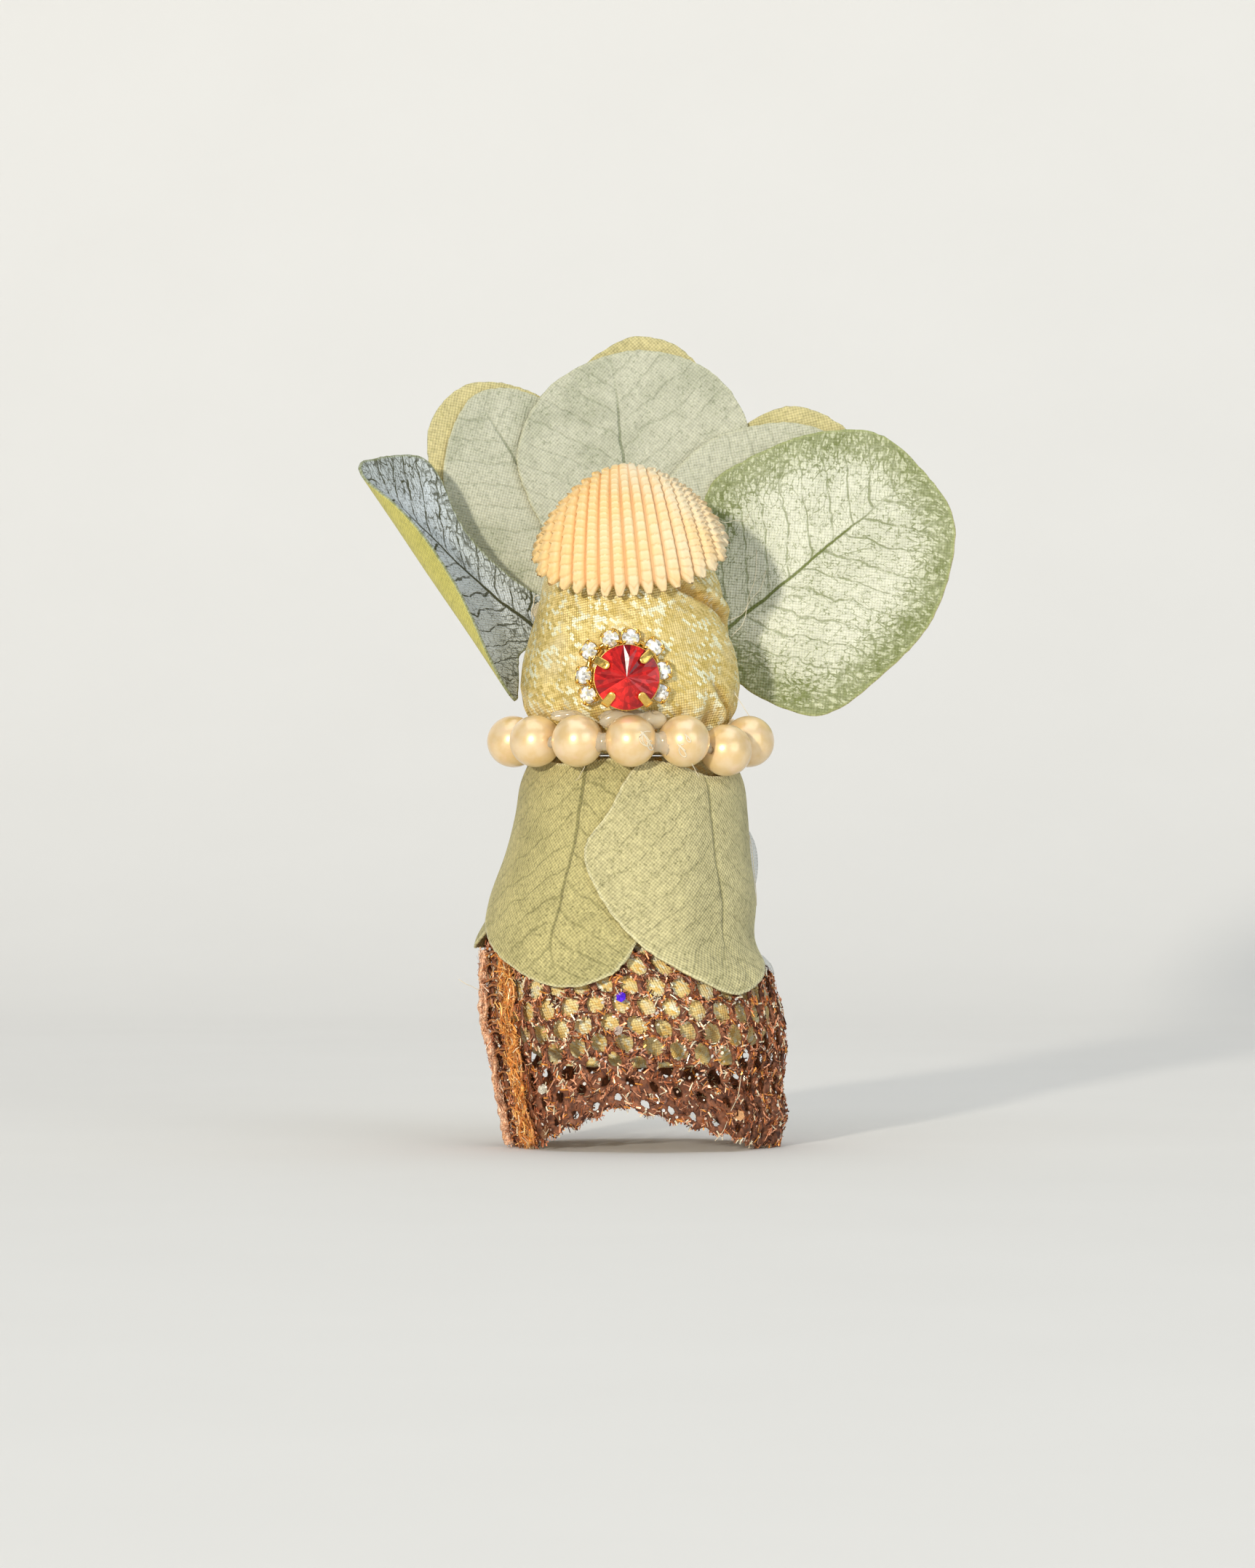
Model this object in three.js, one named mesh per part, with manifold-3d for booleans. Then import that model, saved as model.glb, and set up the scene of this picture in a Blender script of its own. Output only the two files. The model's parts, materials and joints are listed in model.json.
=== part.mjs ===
// Cloth doll with a shell hat, a fan of cloth leaves, a pearl collar and a net skirt.
// Millimetres, +Z up, the front of the doll faces -Y.
import * as THREE from 'three';
import { mergeVertices } from 'three/addons/utils/BufferGeometryUtils.js';
import Module from 'manifold-3d';

const wasm = await Module();
wasm.setup();

// Fits shared by all pieces
const CLEARANCE = 0.3;
const FACET_ALLOWANCE = 0.1;
const LEAF_THICKNESS = 0.45;
const WRAP_THICKNESS = 0.9;

// Surface that the dress leaves lie on, up to the waist: height, middle, half width
const BODY_TOP = 60.8;
const SKIRT_GIRTH = [
  [0, 2.95, 20.95],
  [5, 3.0, 22.15],
  [9, 2.3, 22.2],
  [16, 1.85, 23.15],
  [20, 1.25, 23.35],
  [24, 0.65, 22.85],
  [27, 0.1, 22.4],
  [31, -1.5, 20.8],
];

// The same surface above the waist: depth below the top of the body, middle, half width
const TORSO_GIRTH = [
  [22.3, -0.8, 19.6],
  [14.8, 0.1, 17.8],
  [8.8, 0.65, 16.85],
  [4.3, 0.75, 16.2],
  [-0.2, 0.7, 14.4],
];
const GIRTH = [...SKIRT_GIRTH, ...TORSO_GIRTH.map(([drop, ...size]) => [BODY_TOP - drop, ...size])];
const DEPTH_RATIO = 0.92;

// Stuffed body below the waist: height, middle, half width
const BELLY = [
  [12.4, 1.6, 7.5],
  [13.6, 1.6, 12.8],
  [16.6, 1.5, 16.2],
  [22, 1.0, 18.4],
  [27, -0.2, 18.7],
];
const [BODY_WAIST] = SKIRT_GIRTH[SKIRT_GIRTH.length - 1];
const BODY_SEGMENTS = 28;

// Head, turned about the middle of the doll: radius, height above its base
const DOLL_MIDDLE = 0.5;
const HEAD_BASE = BODY_TOP + CLEARANCE;
const HEAD_OUTLINE = [
  [13.6, 0],
  [14.3, 1.5],
  [14.5, 4.3],
  [16.3, 7.1],
  [16.9, 10.5],
  [16.5, 14.9],
  [15.6, 19.9],
  [13.8, 26.9],
  [11.6, 31.9],
  [8.4, 35.9],
  [4.4, 38.1],
  [0, 38.6],
].map(([radius, rise]) => [radius, HEAD_BASE + rise]);
const HEAD_WIDEST = Math.max(...HEAD_OUTLINE.map(([radius]) => radius));
const HEAD_TOP = Math.max(...HEAD_OUTLINE.map(([, height]) => height));
const [NECK_RADIUS] = HEAD_OUTLINE[2];
const HEAD_SEGMENTS = 36;

// Pearl collar
const PEARL_RADIUS = 4;
const PEARL_BORE = 1.1;
const PEARL_ROWS = 9;
const PEARL_SIDES = 14;
const COLLAR_RADIUS = NECK_RADIUS + CLEARANCE + PEARL_RADIUS;
const PEARL_COUNT = Math.floor(Math.PI / Math.asin((PEARL_RADIUS + CLEARANCE / 2) / COLLAR_RADIUS));
const COLLAR_RISE = 2;
const COLLAR_HEIGHT = HEAD_BASE + COLLAR_RISE;
const COLLAR_DIP = 1.4;
const DIPPED_PEARL = 2;
const STRAND_RADIUS = 0.3;
const STRAND_SIDES = 6;
const STRAND_STEPS = PEARL_COUNT * 3;
const COLLAR_GLUE_SIDE = 0.7;
const COLLAR_GLUE_BEHIND = 1.9;
const COLLAR_GLUE_ABOVE = 0.2;
const COLLAR_GLUE_AT = new THREE.Vector3(
  DOLL_MIDDLE + COLLAR_GLUE_SIDE,
  COLLAR_GLUE_BEHIND - COLLAR_RADIUS,
  COLLAR_HEIGHT + PEARL_RADIUS + COLLAR_GLUE_ABOVE,
);
const COLLAR_GLUE_SIZE = new THREE.Vector3(6.5, 1.7, 2.1);

// Red stone and its setting
const STONE_RADIUS = 5;
const STONE_SIDES = 16;
const STONE_SIDE = -0.1;
const PAVILION_DEPTH = 2.0;
const GIRDLE = 0.3;
const CROWN_HEIGHT = 1.9;
const SETTING_WALL = 0.4;
const SETTING_FOOT = 1.9;
const STONE_HEIGHT = COLLAR_HEIGHT + PEARL_RADIUS + CLEARANCE + SETTING_WALL + STONE_RADIUS;
const STONE_POINT = CLEARANCE + SETTING_WALL + CLEARANCE;
const STONE_GIRDLE = STONE_POINT + PAVILION_DEPTH;
const PRONG_WIDTH = 1.1;
const PRONG_THICKNESS = 0.5;
const PRONG_REACH = 1.1;
const PRONG_ANGLES = [150, 46, 231, 309];

// Clear stones in their cup chain
const CHIP_COUNT = 8;
const CHIP_SIDES = 8;
const CHIP_RADIUS = 1.2;
const CHIP_DEPTH = 0.8;
const CHIP_CROWN = 0.5;
const CHIP_TABLE = 0.7;
const CHIP_FIT = 0.12;
const CUP_WALL = 0.08;
const CUP_SIDE = 2 * (CHIP_RADIUS + CHIP_FIT + CUP_WALL);
const CHAIN_GAP = 0.35;
const CHAIN_RADIUS = STONE_RADIUS + CHAIN_GAP + CUP_SIDE / 2;
const CHAIN_START = 203;
const CHAIN_END = -20;
const CUP_HEIGHT = 1.6;
const CUP_FLOOR = 0.35;
const CUP_LIFT = CLEARANCE * 1.5;
const LINK_WIDTH = 0.8;
const LINK_HEIGHT = 0.5;

// Shell hat: a dome over an oval edge, tilted forward
const SHELL_HALF_WIDTH = 14.2;
const SHELL_HALF_LENGTH = 12.2;
const SHELL_MIDDLE = -0.3;
const SHELL_BEHIND = 2.2;
const SHELL_RISE = 1.7;
const SHELL_HINGE = new THREE.Vector3(SHELL_MIDDLE, SHELL_BEHIND, HEAD_TOP + SHELL_RISE);
const SHELL_TILT = 40;
const SHELL_ROLL = -5;
const SHELL_SKEW = 0.18;
const UMBO_AHEAD = 4;
const UMBO_HEIGHT = 9.6;
const SHELL_BULGE = 1.6;
const SHELL_WALL = 1.2;
const UMBO_THICKENING = 1.2;
const SHELL_GLUE_RADIUS = 9.2;
const SHELL_GLUE_AHEAD = 11.6;
const SHELL_GLUE_UP = 5;
const RIB_COUNT = 36;
const RIB_DEPTH = 0.75;
const SHELL_ROWS = [0.14, 0.36, 0.58, 0.77, 0.91, 1];

// Fan of leaves behind the head, on one dished surface with a layer for each leaf: side, height
const FAN_RISE = 23.9;
const FAN_HEIGHT = HEAD_BASE + FAN_RISE;
const FAN_STANDOFF = 2.83;
const FAN_DEPTH = headDepth(DOLL_MIDDLE, FAN_HEIGHT) + FAN_STANDOFF;
const FAN_LEAN = 0.12;
const FAN_DISH = 0.004;
const FAN_PITCH = LEAF_THICKNESS + CLEARANCE + FACET_ALLOWANCE;
const FAN_GLUE_OUTLINE = [[-6, -4.5], [-7.5, 0], [-4, 3.5], [4, 3.5], [9, 0.5], [10.2, -3], [5, -5.5]];
const LEAF_SEGMENTS = 26;
const LEAF_RINGS = 4;
const WRAPPED_RINGS = 6;

const FAN_LEAVES = {
  fan_right: {
    layer: 0,
    outline: [
      [9.8, -1.4], [10.7, 8.8], [13.4, 19.3], [19.8, 23.7], [30.4, 27.5], [39.6, 27.2], [46.1, 21.8],
      [51.5, 12.9], [48.2, -2.2], [40.2, -11.3], [30.6, -17.6], [20.5, -14.5], [13.3, -8.1],
    ],
  },
  fan_right_mid: {
    layer: 1,
    outline: [
      [-2, -2.5], [1, 7.7], [5.1, 18], [12.3, 26], [19.7, 28.6], [27.4, 29], [33.2, 26.1],
      [34.7, 15.9], [28.6, 5.7], [17.4, -1.4], [6.1, -4],
    ],
  },
  fan_centre: {
    layer: 2,
    outline: [
      [-4.1, -2.5], [-9.7, 6.7], [-15.3, 15.9], [-17.7, 24.1], [-13.5, 34.1], [-5.3, 39.5], [3.6, 41],
      [13.1, 37.7], [18.8, 30.2], [18.9, 19], [12.3, 6.7], [5.1, -3],
    ],
  },
  fan_left_mid: {
    layer: 3,
    outline: [
      [-1, -2.5], [-9.2, -2], [-19.4, 4.7], [-27.6, 13.9], [-29.4, 22], [-25.1, 33.2], [-18.4, 34.8],
      [-8.2, 29.2], [-3.1, 18], [0, 5.7],
    ],
  },
  fan_right_back: {
    layer: 3,
    outline: [
      [4.1, -2.5], [5.1, 7.7], [10.2, 20], [18.4, 28.7], [26, 31.9], [32.2, 30], [35.7, 26.6],
      [34.2, 16.9], [25.5, 5.7], [13.3, -1.4],
    ],
  },
  fan_left_back: {
    layer: 4,
    outline: [
      [-2.6, -1.4], [-12.3, 1.6], [-23.5, 9.8], [-30.6, 19], [-31.7, 28.7], [-26, 35.3], [-16.3, 34.8],
      [-8.2, 28.2], [-3.1, 16.9], [0, 5.7],
    ],
  },
  fan_centre_back: {
    layer: 5,
    outline: [
      [-2.6, -2], [-10.2, 11.8], [-12.8, 24.1], [-10.7, 34.3], [-5.1, 40.4], [1.6, 43.5], [8.7, 41.4],
      [13.8, 34.3], [14.8, 23.1], [11.2, 10.8], [3.6, -2],
    ],
  },
};

// Curled left leaf: flat outline along and across, then the section that it is rolled to
const CURL_STANDOFF = 0.5;
const CURL_RISE = 7.1;
const CURL_BASE = new THREE.Vector3(DOLL_MIDDLE - HEAD_WIDEST - CURL_STANDOFF, 0, HEAD_BASE + CURL_RISE);
const CURL_SLOPE = 124;
const CURL_SECTION = [[2.9, -11], [0.4, -7], [0.5, -3.2], [3, 2.4], [5.8, 7], [9.8, 10.2], [14.6, 12.2]];
const CURL_NEAR = -9;
const CURL_OUTLINE = [
  [1.5, -1], [12, -6], [22, -8.6], [32, -8.6], [40, -5.5], [45.2, 0], [44.3, 7], [41.5, 13.5],
  [33, 14.5], [25, 15], [17, 17.5], [10, 20.6], [7.5, 17], [7, 9], [3, 3],
];
const CURL_GLUE_AT = [12.5, 15.6];
const CURL_GLUE_RADIUS = 2.4;
const CURL_GLUE_INSET = 2.9;

// Dress leaves: outlines as angle round the doll and height, and the layer on the girth
const DRESS_PITCH = LEAF_THICKNESS + CLEARANCE + FACET_ALLOWANCE;
const DRESS_FLAT_RADIUS = 20;
const DRESS_TUCK = 0.5;
const DRESS_TOP = COLLAR_HEIGHT - PEARL_RADIUS + DRESS_TUCK;
const HEM_LEFT = 30.6;
const DRESS_LEAVES = {
  dress_left: {
    layer: 0,
    outline: [
      [-64, DRESS_TOP], [-104, DRESS_TOP], [-144, DRESS_TOP], [-152, 47], [-138, 36], [-112, 31.5],
      [-86, 31.3], [-68, 37], [-62, 48],
    ],
  },
  dress_right: {
    layer: 0,
    outline: [
      [64, DRESS_TOP], [104, DRESS_TOP], [144, DRESS_TOP], [152, 47], [138, 36], [112, 31], [88, 30.4],
      [68, 37], [62, 48],
    ],
  },
  dress_front_left: {
    layer: 1,
    outline: [
      [-82, DRESS_TOP], [-90, 46], [-84, 38.5], [-59, HEM_LEFT], [-27, 25.4], [-6, 27.4], [9, 32.5], [15, 41],
      [12, 51], [2, DRESS_TOP], [-40, DRESS_TOP],
    ],
  },
  dress_front_right: {
    layer: 2,
    settle: 1,
    outline: [
      [4, DRESS_TOP], [-12, 51.6], [-20, 46.8], [-10, 39.5], [10, 31.6], [25.5, 26.6], [43, 24.2], [64, 27.2],
      [80, 31], [86, 38], [88, 47], [84, DRESS_TOP], [50, DRESS_TOP - COLLAR_DIP],
    ],
  },
  dress_back: {
    layer: 1,
    outline: [
      [134, DRESS_TOP], [180, DRESS_TOP], [226, DRESS_TOP], [233, 46], [220, 33], [180, 26.4],
      [140, 33], [127, 46],
    ],
  },
};
const SETTLE_FROM = 24;
const SETTLE_TO = 44;

// Net skirt and lining
const NET_TOP = 36;
const NET_SEGMENTS = 48;
const NOTCH_HEIGHT = 6.9;
const NOTCH_SIDE = -0.19;
const HEM_REST = 0.88;
const FOLD_COUNT = 9;
const FOLD_DEPTH = 0.55;
const LINING_TUCK = 5.6;
const LINING_TOP = DRESS_TOP - LINING_TUCK;
const SELVAGE_ANGLE = -66;
const SELVAGE_WIDTH = 3.4;
const SELVAGE_THICKNESS = 1.1;
const SELVAGE_EDGE = 0.75;
const SELVAGE_RINGS = 9;
const SELVAGE_LOW = 3.6;
const SELVAGE_TUCK = 1.2;
const SELVAGE_HIGH = HEM_LEFT - SELVAGE_TUCK;

// Roundness of glue
const BLOB_SIDES = 12;
const BLOB_ROWS = 8;

// Colours for the shop view
const COLOURS = {
  gold: 0xc9a544,
  white: 0xeeeae0,
  copper: 0x7a4a2c,
  rust: 0xa8622c,
  sage: 0x8b9278,
  leaf: 0x8f9f92,
  lime: 0xb9bf7c,
  pearl: 0xe9dcc0,
  shell: 0xe8c39a,
  red: 0xb01226,
  gilt: 0xb98a35,
  clear: 0xdfe3e6,
  glue: 0xd9d6c8,
};

const rad = THREE.MathUtils.degToRad;

// Value at a height between stations
function between(stations, z) {
  const last = stations.length - 1;
  let i = 0;
  while (i < last - 1 && z > stations[i + 1][0]) i += 1;
  const [z0, ...low] = stations[i];
  const [z1, ...high] = stations[i + 1];
  const t = (z - z0) / (z1 - z0);
  return low.map((value, k) => THREE.MathUtils.lerp(value, high[k], t));
}

// Heights of the rings of a wrap: its ends and each change of girth between them
function ringHeights(low, high) {
  const inside = GIRTH.map(([z]) => z).filter((z) => z > low && z < high);
  return [low, ...inside, high];
}

// Point on the doll at an angle from the front, positive to its right in view
function onGirth(angle, z, offset) {
  const [middle, half] = between(GIRTH, z);
  const x = middle + (half + offset) * Math.sin(angle);
  const y = -(half * DEPTH_RATIO + offset) * Math.cos(angle);
  return new THREE.Vector3(x, y, z);
}

function shape(points, triangles) {
  const geometry = new THREE.BufferGeometry();
  geometry.setAttribute('position', new THREE.Float32BufferAttribute(points.flatMap((p) => p.toArray()), 3));
  geometry.setIndex(triangles);
  let volume = 0;
  for (let i = 0; i < triangles.length; i += 3) {
    const [a, b, c] = [points[triangles[i]], points[triangles[i + 1]], points[triangles[i + 2]]];
    volume += a.dot(b.clone().cross(c));
  }
  if (volume < 0) geometry.setIndex(triangles.toReversed());
  return geometry;
}

// Solid between rings of equal count: capped with a pole at each end, or closed on itself
function skin(rings, capped) {
  const count = rings[0].length;
  const points = rings.flat();
  const triangles = [];
  const pairs = capped ? rings.length - 1 : rings.length;
  for (let r = 0; r < pairs; r += 1) {
    const low = r * count;
    const high = ((r + 1) % rings.length) * count;
    for (let i = 0; i < count; i += 1) {
      const j = (i + 1) % count;
      triangles.push(low + i, low + j, high + j, low + i, high + j, high + i);
    }
  }
  if (capped) {
    const top = (rings.length - 1) * count;
    const poles = [rings[0], rings[rings.length - 1]].map((ring) => {
      const sum = ring.reduce((total, p) => total.add(p), new THREE.Vector3());
      return points.push(sum.divideScalar(count)) - 1;
    });
    for (let i = 0; i < count; i += 1) {
      const j = (i + 1) % count;
      triangles.push(poles[0], j, i, poles[1], top + i, top + j);
    }
  }
  return shape(points, triangles);
}

// Solid between two surfaces over a closed flat outline
function slab(outline, front, back, rings = LEAF_RINGS) {
  const flat = outline.map(([u, v]) => new THREE.Vector3(u, v, 0));
  const curve = new THREE.CatmullRomCurve3(flat, true, 'centripetal');
  const edge = curve.getSpacedPoints(LEAF_SEGMENTS).slice(0, LEAF_SEGMENTS);
  const centre = edge.reduce((total, p) => total.add(p), new THREE.Vector3()).divideScalar(LEAF_SEGMENTS);
  const ring = (surface, share) => edge.map((p) => {
    const q = centre.clone().lerp(p, share);
    return surface(q.x, q.y);
  });
  const shares = Array.from({ length: rings }, (_, k) => (k + 1) / rings);
  const fronts = shares.map((share) => ring(front, share));
  const backs = shares.toReversed().map((share) => ring(back, share));
  return skin([...fronts, ...backs], true);
}

// Cloth leaf of even thickness on a surface
function clothLeaf(outline, surface, rings, thickness = LEAF_THICKNESS) {
  const step = 0.05;
  const side = (share) => (u, v) => {
    const du = surface(u + step, v).sub(surface(u - step, v));
    const dv = surface(u, v + step).sub(surface(u, v - step));
    const normal = du.cross(dv).normalize();
    return surface(u, v).addScaledVector(normal, share * thickness / 2);
  };
  return slab(outline, side(1), side(-1), rings);
}

function solid(geometry) {
  const bare = geometry.clone();
  bare.deleteAttribute('normal');
  bare.deleteAttribute('uv');
  const merged = mergeVertices(bare, 1e-4);
  const vertProperties = new Float32Array(merged.attributes.position.array);
  const triVerts = new Uint32Array(merged.index.array);
  return new wasm.Manifold(new wasm.Mesh({ numProp: 3, vertProperties, triVerts }));
}

function fromSolid(manifold) {
  const mesh = manifold.getMesh();
  const geometry = new THREE.BufferGeometry();
  geometry.setAttribute('position', new THREE.Float32BufferAttribute(mesh.vertProperties, 3));
  geometry.setIndex(Array.from(mesh.triVerts));
  return geometry;
}

function blobAt(centre, radius) {
  return new THREE.SphereGeometry(radius, BLOB_SIDES, BLOB_ROWS).translate(centre.x, centre.y, centre.z);
}

// Turned solid about a vertical axis
function turned(outline, segments) {
  const points = outline.map(([r, z]) => new THREE.Vector2(r, z));
  return new THREE.LatheGeometry(points, segments).rotateX(Math.PI / 2);
}

function ovalRing(middle, halfWidth, halfDepth, z) {
  return Array.from({ length: BODY_SEGMENTS }, (_, i) => {
    const angle = (i / BODY_SEGMENTS) * 2 * Math.PI;
    return new THREE.Vector3(middle + halfWidth * Math.sin(angle), -halfDepth * Math.cos(angle), z);
  });
}

function girthRing(z, offset) {
  return Array.from({ length: BODY_SEGMENTS }, (_, i) => {
    const angle = (i / BODY_SEGMENTS) * 2 * Math.PI;
    return onGirth(angle, z, offset);
  });
}

function body() {
  const inset = -(2 * CLEARANCE + WRAP_THICKNESS);
  const lower = BELLY.map(([z, middle, half]) => ovalRing(middle, half, half * DEPTH_RATIO, z));
  const upper = ringHeights(BODY_WAIST, BODY_TOP).map((z) => girthRing(z, inset));
  return skin([...lower, ...upper], true);
}

// Hem height round the skirt: a notch at the front and back, resting on both sides
function hemHeight(angle) {
  const side = Math.sin(angle);
  const reach = side < NOTCH_SIDE ? HEM_REST + NOTCH_SIDE : HEM_REST - NOTCH_SIDE;
  return NOTCH_HEIGHT * Math.max(0, 1 - Math.abs(side - NOTCH_SIDE) / reach);
}

function netPoint(angle, z, offset) {
  const loose = 1 - z / NET_TOP;
  const fold = FOLD_DEPTH * loose * (Math.cos(FOLD_COUNT * angle) - 1);
  return onGirth(angle, z, fold + offset);
}

function netSkirt() {
  const ring = (offset) => (z) => Array.from({ length: NET_SEGMENTS }, (_, i) => {
    const angle = (i / NET_SEGMENTS) * 2 * Math.PI;
    const lift = hemHeight(angle) * Math.max(0, 1 - z / BODY_WAIST);
    return netPoint(angle, z + lift, offset);
  });
  const heights = ringHeights(0, NET_TOP);
  const outer = heights.map(ring(-CLEARANCE));
  const inner = heights.toReversed().map(ring(-CLEARANCE - WRAP_THICKNESS));
  return skin([...outer, ...inner], false);
}

function netSelvage() {
  const middle = (SELVAGE_LOW + SELVAGE_HIGH) / 2;
  const half = SELVAGE_WIDTH / 2 / between(GIRTH, middle)[1];
  const at = (z, side, offset) => netPoint(rad(SELVAGE_ANGLE) + side * half, z, offset);
  const rings = Array.from({ length: SELVAGE_RINGS }, (_, i) => {
    const z = THREE.MathUtils.lerp(SELVAGE_LOW, SELVAGE_HIGH, i / (SELVAGE_RINGS - 1));
    const under = [-1, 0, 1].map((side) => at(z, side, 0));
    const over = [at(z, 1, SELVAGE_EDGE), at(z, 0, SELVAGE_THICKNESS), at(z, -1, SELVAGE_EDGE)];
    return [...under, ...over];
  });
  return skin(rings, true);
}

function lining() {
  const heights = ringHeights(NET_TOP + CLEARANCE, LINING_TOP);
  const outer = heights.map((z) => girthRing(z, -CLEARANCE));
  const inner = heights.toReversed().map((z) => girthRing(z, -CLEARANCE - WRAP_THICKNESS));
  return skin([...outer, ...inner], false);
}

function headShape(offset) {
  const outline = HEAD_OUTLINE.map(([r, z]) => [r === 0 ? 0 : r + offset, z]);
  const [top] = outline.slice(-1);
  top[1] += offset;
  const [base] = outline;
  base[1] -= offset;
  const geometry = turned([[0, base[1]], ...outline], HEAD_SEGMENTS);
  return geometry.translate(DOLL_MIDDLE, 0, 0);
}

// Depth of the head cloth at a point seen from the front or back
function headDepth(x, z) {
  const stations = HEAD_OUTLINE.map(([r, height]) => [height, r]);
  const [r] = between(stations, z);
  const across = Math.min(Math.abs(x - DOLL_MIDDLE), r);
  return Math.sqrt(r * r - across * across);
}

function pearlCentre(index) {
  const angle = (index / PEARL_COUNT) * 2 * Math.PI;
  const dip = index === DIPPED_PEARL ? COLLAR_DIP : 0;
  const x = DOLL_MIDDLE + COLLAR_RADIUS * Math.sin(angle);
  const y = -COLLAR_RADIUS * Math.cos(angle);
  return new THREE.Vector3(x, y, COLLAR_HEIGHT - dip);
}

function pearl(index) {
  const start = Math.asin(PEARL_BORE / PEARL_RADIUS);
  const arc = Array.from({ length: PEARL_ROWS + 1 }, (_, i) => {
    const angle = THREE.MathUtils.lerp(start, Math.PI - start, i / PEARL_ROWS);
    return [PEARL_RADIUS * Math.sin(angle), -PEARL_RADIUS * Math.cos(angle)];
  });
  const bead = turned([...arc, arc[0]], PEARL_SIDES);
  const along = strandPath().getTangent(index / PEARL_COUNT);
  const turn = new THREE.Quaternion().setFromUnitVectors(new THREE.Vector3(0, 0, 1), along);
  const { x, y, z } = pearlCentre(index);
  return bead.applyQuaternion(turn).translate(x, y, z);
}

function strandPath() {
  const points = Array.from({ length: PEARL_COUNT }, (_, i) => pearlCentre(i));
  return new THREE.CatmullRomCurve3(points, true, 'centripetal');
}

function pearlStrand() {
  const path = strandPath();
  const frames = path.computeFrenetFrames(STRAND_STEPS, true);
  const rings = Array.from({ length: STRAND_STEPS }, (_, i) => {
    const centre = path.getPointAt(i / STRAND_STEPS);
    return Array.from({ length: STRAND_SIDES }, (__, k) => {
      const angle = (k / STRAND_SIDES) * 2 * Math.PI;
      const out = frames.normals[i].clone().multiplyScalar(Math.cos(angle) * STRAND_RADIUS);
      const up = frames.binormals[i].clone().multiplyScalar(Math.sin(angle) * STRAND_RADIUS);
      return centre.clone().add(out).add(up);
    });
  });
  return skin(rings, false);
}

// Turn a piece made about +Z to face the front on the head at the red stone
function onForehead(geometry) {
  const depth = headDepth(STONE_SIDE, STONE_HEIGHT);
  return geometry.rotateX(Math.PI / 2).translate(STONE_SIDE, -depth, STONE_HEIGHT);
}

function redStone() {
  const outline = [
    [0, STONE_POINT],
    [STONE_RADIUS, STONE_GIRDLE],
    [STONE_RADIUS, STONE_GIRDLE + GIRDLE],
    [0, STONE_GIRDLE + GIRDLE + CROWN_HEIGHT],
  ];
  return onForehead(turned(outline, STONE_SIDES));
}

// Seat of the red stone at a distance from its middle
function stoneSeat(radius) {
  return STONE_POINT - CLEARANCE + PAVILION_DEPTH / STONE_RADIUS * radius;
}

// Outside of the bowl that holds the red stone, from its foot to its rim
function bowlOutside(grow) {
  const rim = STONE_RADIUS + CLEARANCE;
  return [
    [0, CLEARANCE - grow],
    [SETTING_FOOT + grow, CLEARANCE - grow],
    [rim + SETTING_WALL + grow, stoneSeat(rim) - SETTING_WALL / 2 - grow],
    [rim + SETTING_WALL + grow, STONE_GIRDLE],
  ];
}

function stoneSetting() {
  const rim = STONE_RADIUS + CLEARANCE;
  const inside = [[rim, STONE_GIRDLE], [rim, stoneSeat(rim)], [0, stoneSeat(0)]];
  const bowl = turned([...bowlOutside(0), ...inside], STONE_SIDES * 2);
  const over = STONE_GIRDLE + GIRDLE + CLEARANCE;
  const inward = CROWN_HEIGHT / STONE_RADIUS * PRONG_REACH;
  const outline = new THREE.Shape([
    new THREE.Vector2(rim, STONE_GIRDLE - PRONG_THICKNESS),
    new THREE.Vector2(rim + PRONG_THICKNESS, STONE_GIRDLE - PRONG_THICKNESS),
    new THREE.Vector2(rim + PRONG_THICKNESS, over + PRONG_THICKNESS / 2),
    new THREE.Vector2(rim, over + PRONG_THICKNESS),
    new THREE.Vector2(rim - PRONG_REACH, over + inward + PRONG_THICKNESS),
    new THREE.Vector2(rim - PRONG_REACH, over + inward),
    new THREE.Vector2(rim, over),
  ]);
  const prongs = PRONG_ANGLES.map((angle) => {
    const bar = new THREE.ExtrudeGeometry(outline, { depth: PRONG_WIDTH, bevelEnabled: false });
    return solid(bar.translate(0, 0, -PRONG_WIDTH / 2).rotateX(Math.PI / 2).rotateZ(rad(angle)));
  });
  const joined = prongs.reduce((total, prong) => total.add(prong), solid(bowl));
  return onForehead(fromSolid(joined));
}

// Frame of a clear stone on the head: out from the cloth, round the arc, and across it
function chipFrame(index) {
  const angle = rad(THREE.MathUtils.lerp(CHAIN_START, CHAIN_END, index / (CHIP_COUNT - 1)));
  const x = STONE_SIDE + CHAIN_RADIUS * Math.cos(angle);
  const z = STONE_HEIGHT + CHAIN_RADIUS * Math.sin(angle);
  const at = (u, v) => new THREE.Vector3(u, -headDepth(u, v), v);
  const step = 0.4;
  const du = at(x + step, z).sub(at(x - step, z));
  const dv = at(x, z + step).sub(at(x, z - step));
  const out = du.cross(dv).normalize();
  const along = new THREE.Vector3(-Math.sin(angle), 0, Math.cos(angle));
  const across = along.clone().cross(out).normalize();
  along.copy(out).cross(across);
  const frame = new THREE.Matrix4().makeBasis(across, along, out);
  return frame.setPosition(at(x, z).addScaledVector(out, CUP_LIFT));
}

function chipOutline() {
  const base = CUP_FLOOR + CHIP_FIT;
  return [
    [0, base],
    [CHIP_RADIUS, base + CHIP_DEPTH],
    [CHIP_TABLE, base + CHIP_DEPTH + CHIP_CROWN],
    [0, base + CHIP_DEPTH + CHIP_CROWN],
  ];
}

function chip(index) {
  return turned(chipOutline(), CHIP_SIDES).applyMatrix4(chipFrame(index));
}

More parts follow.
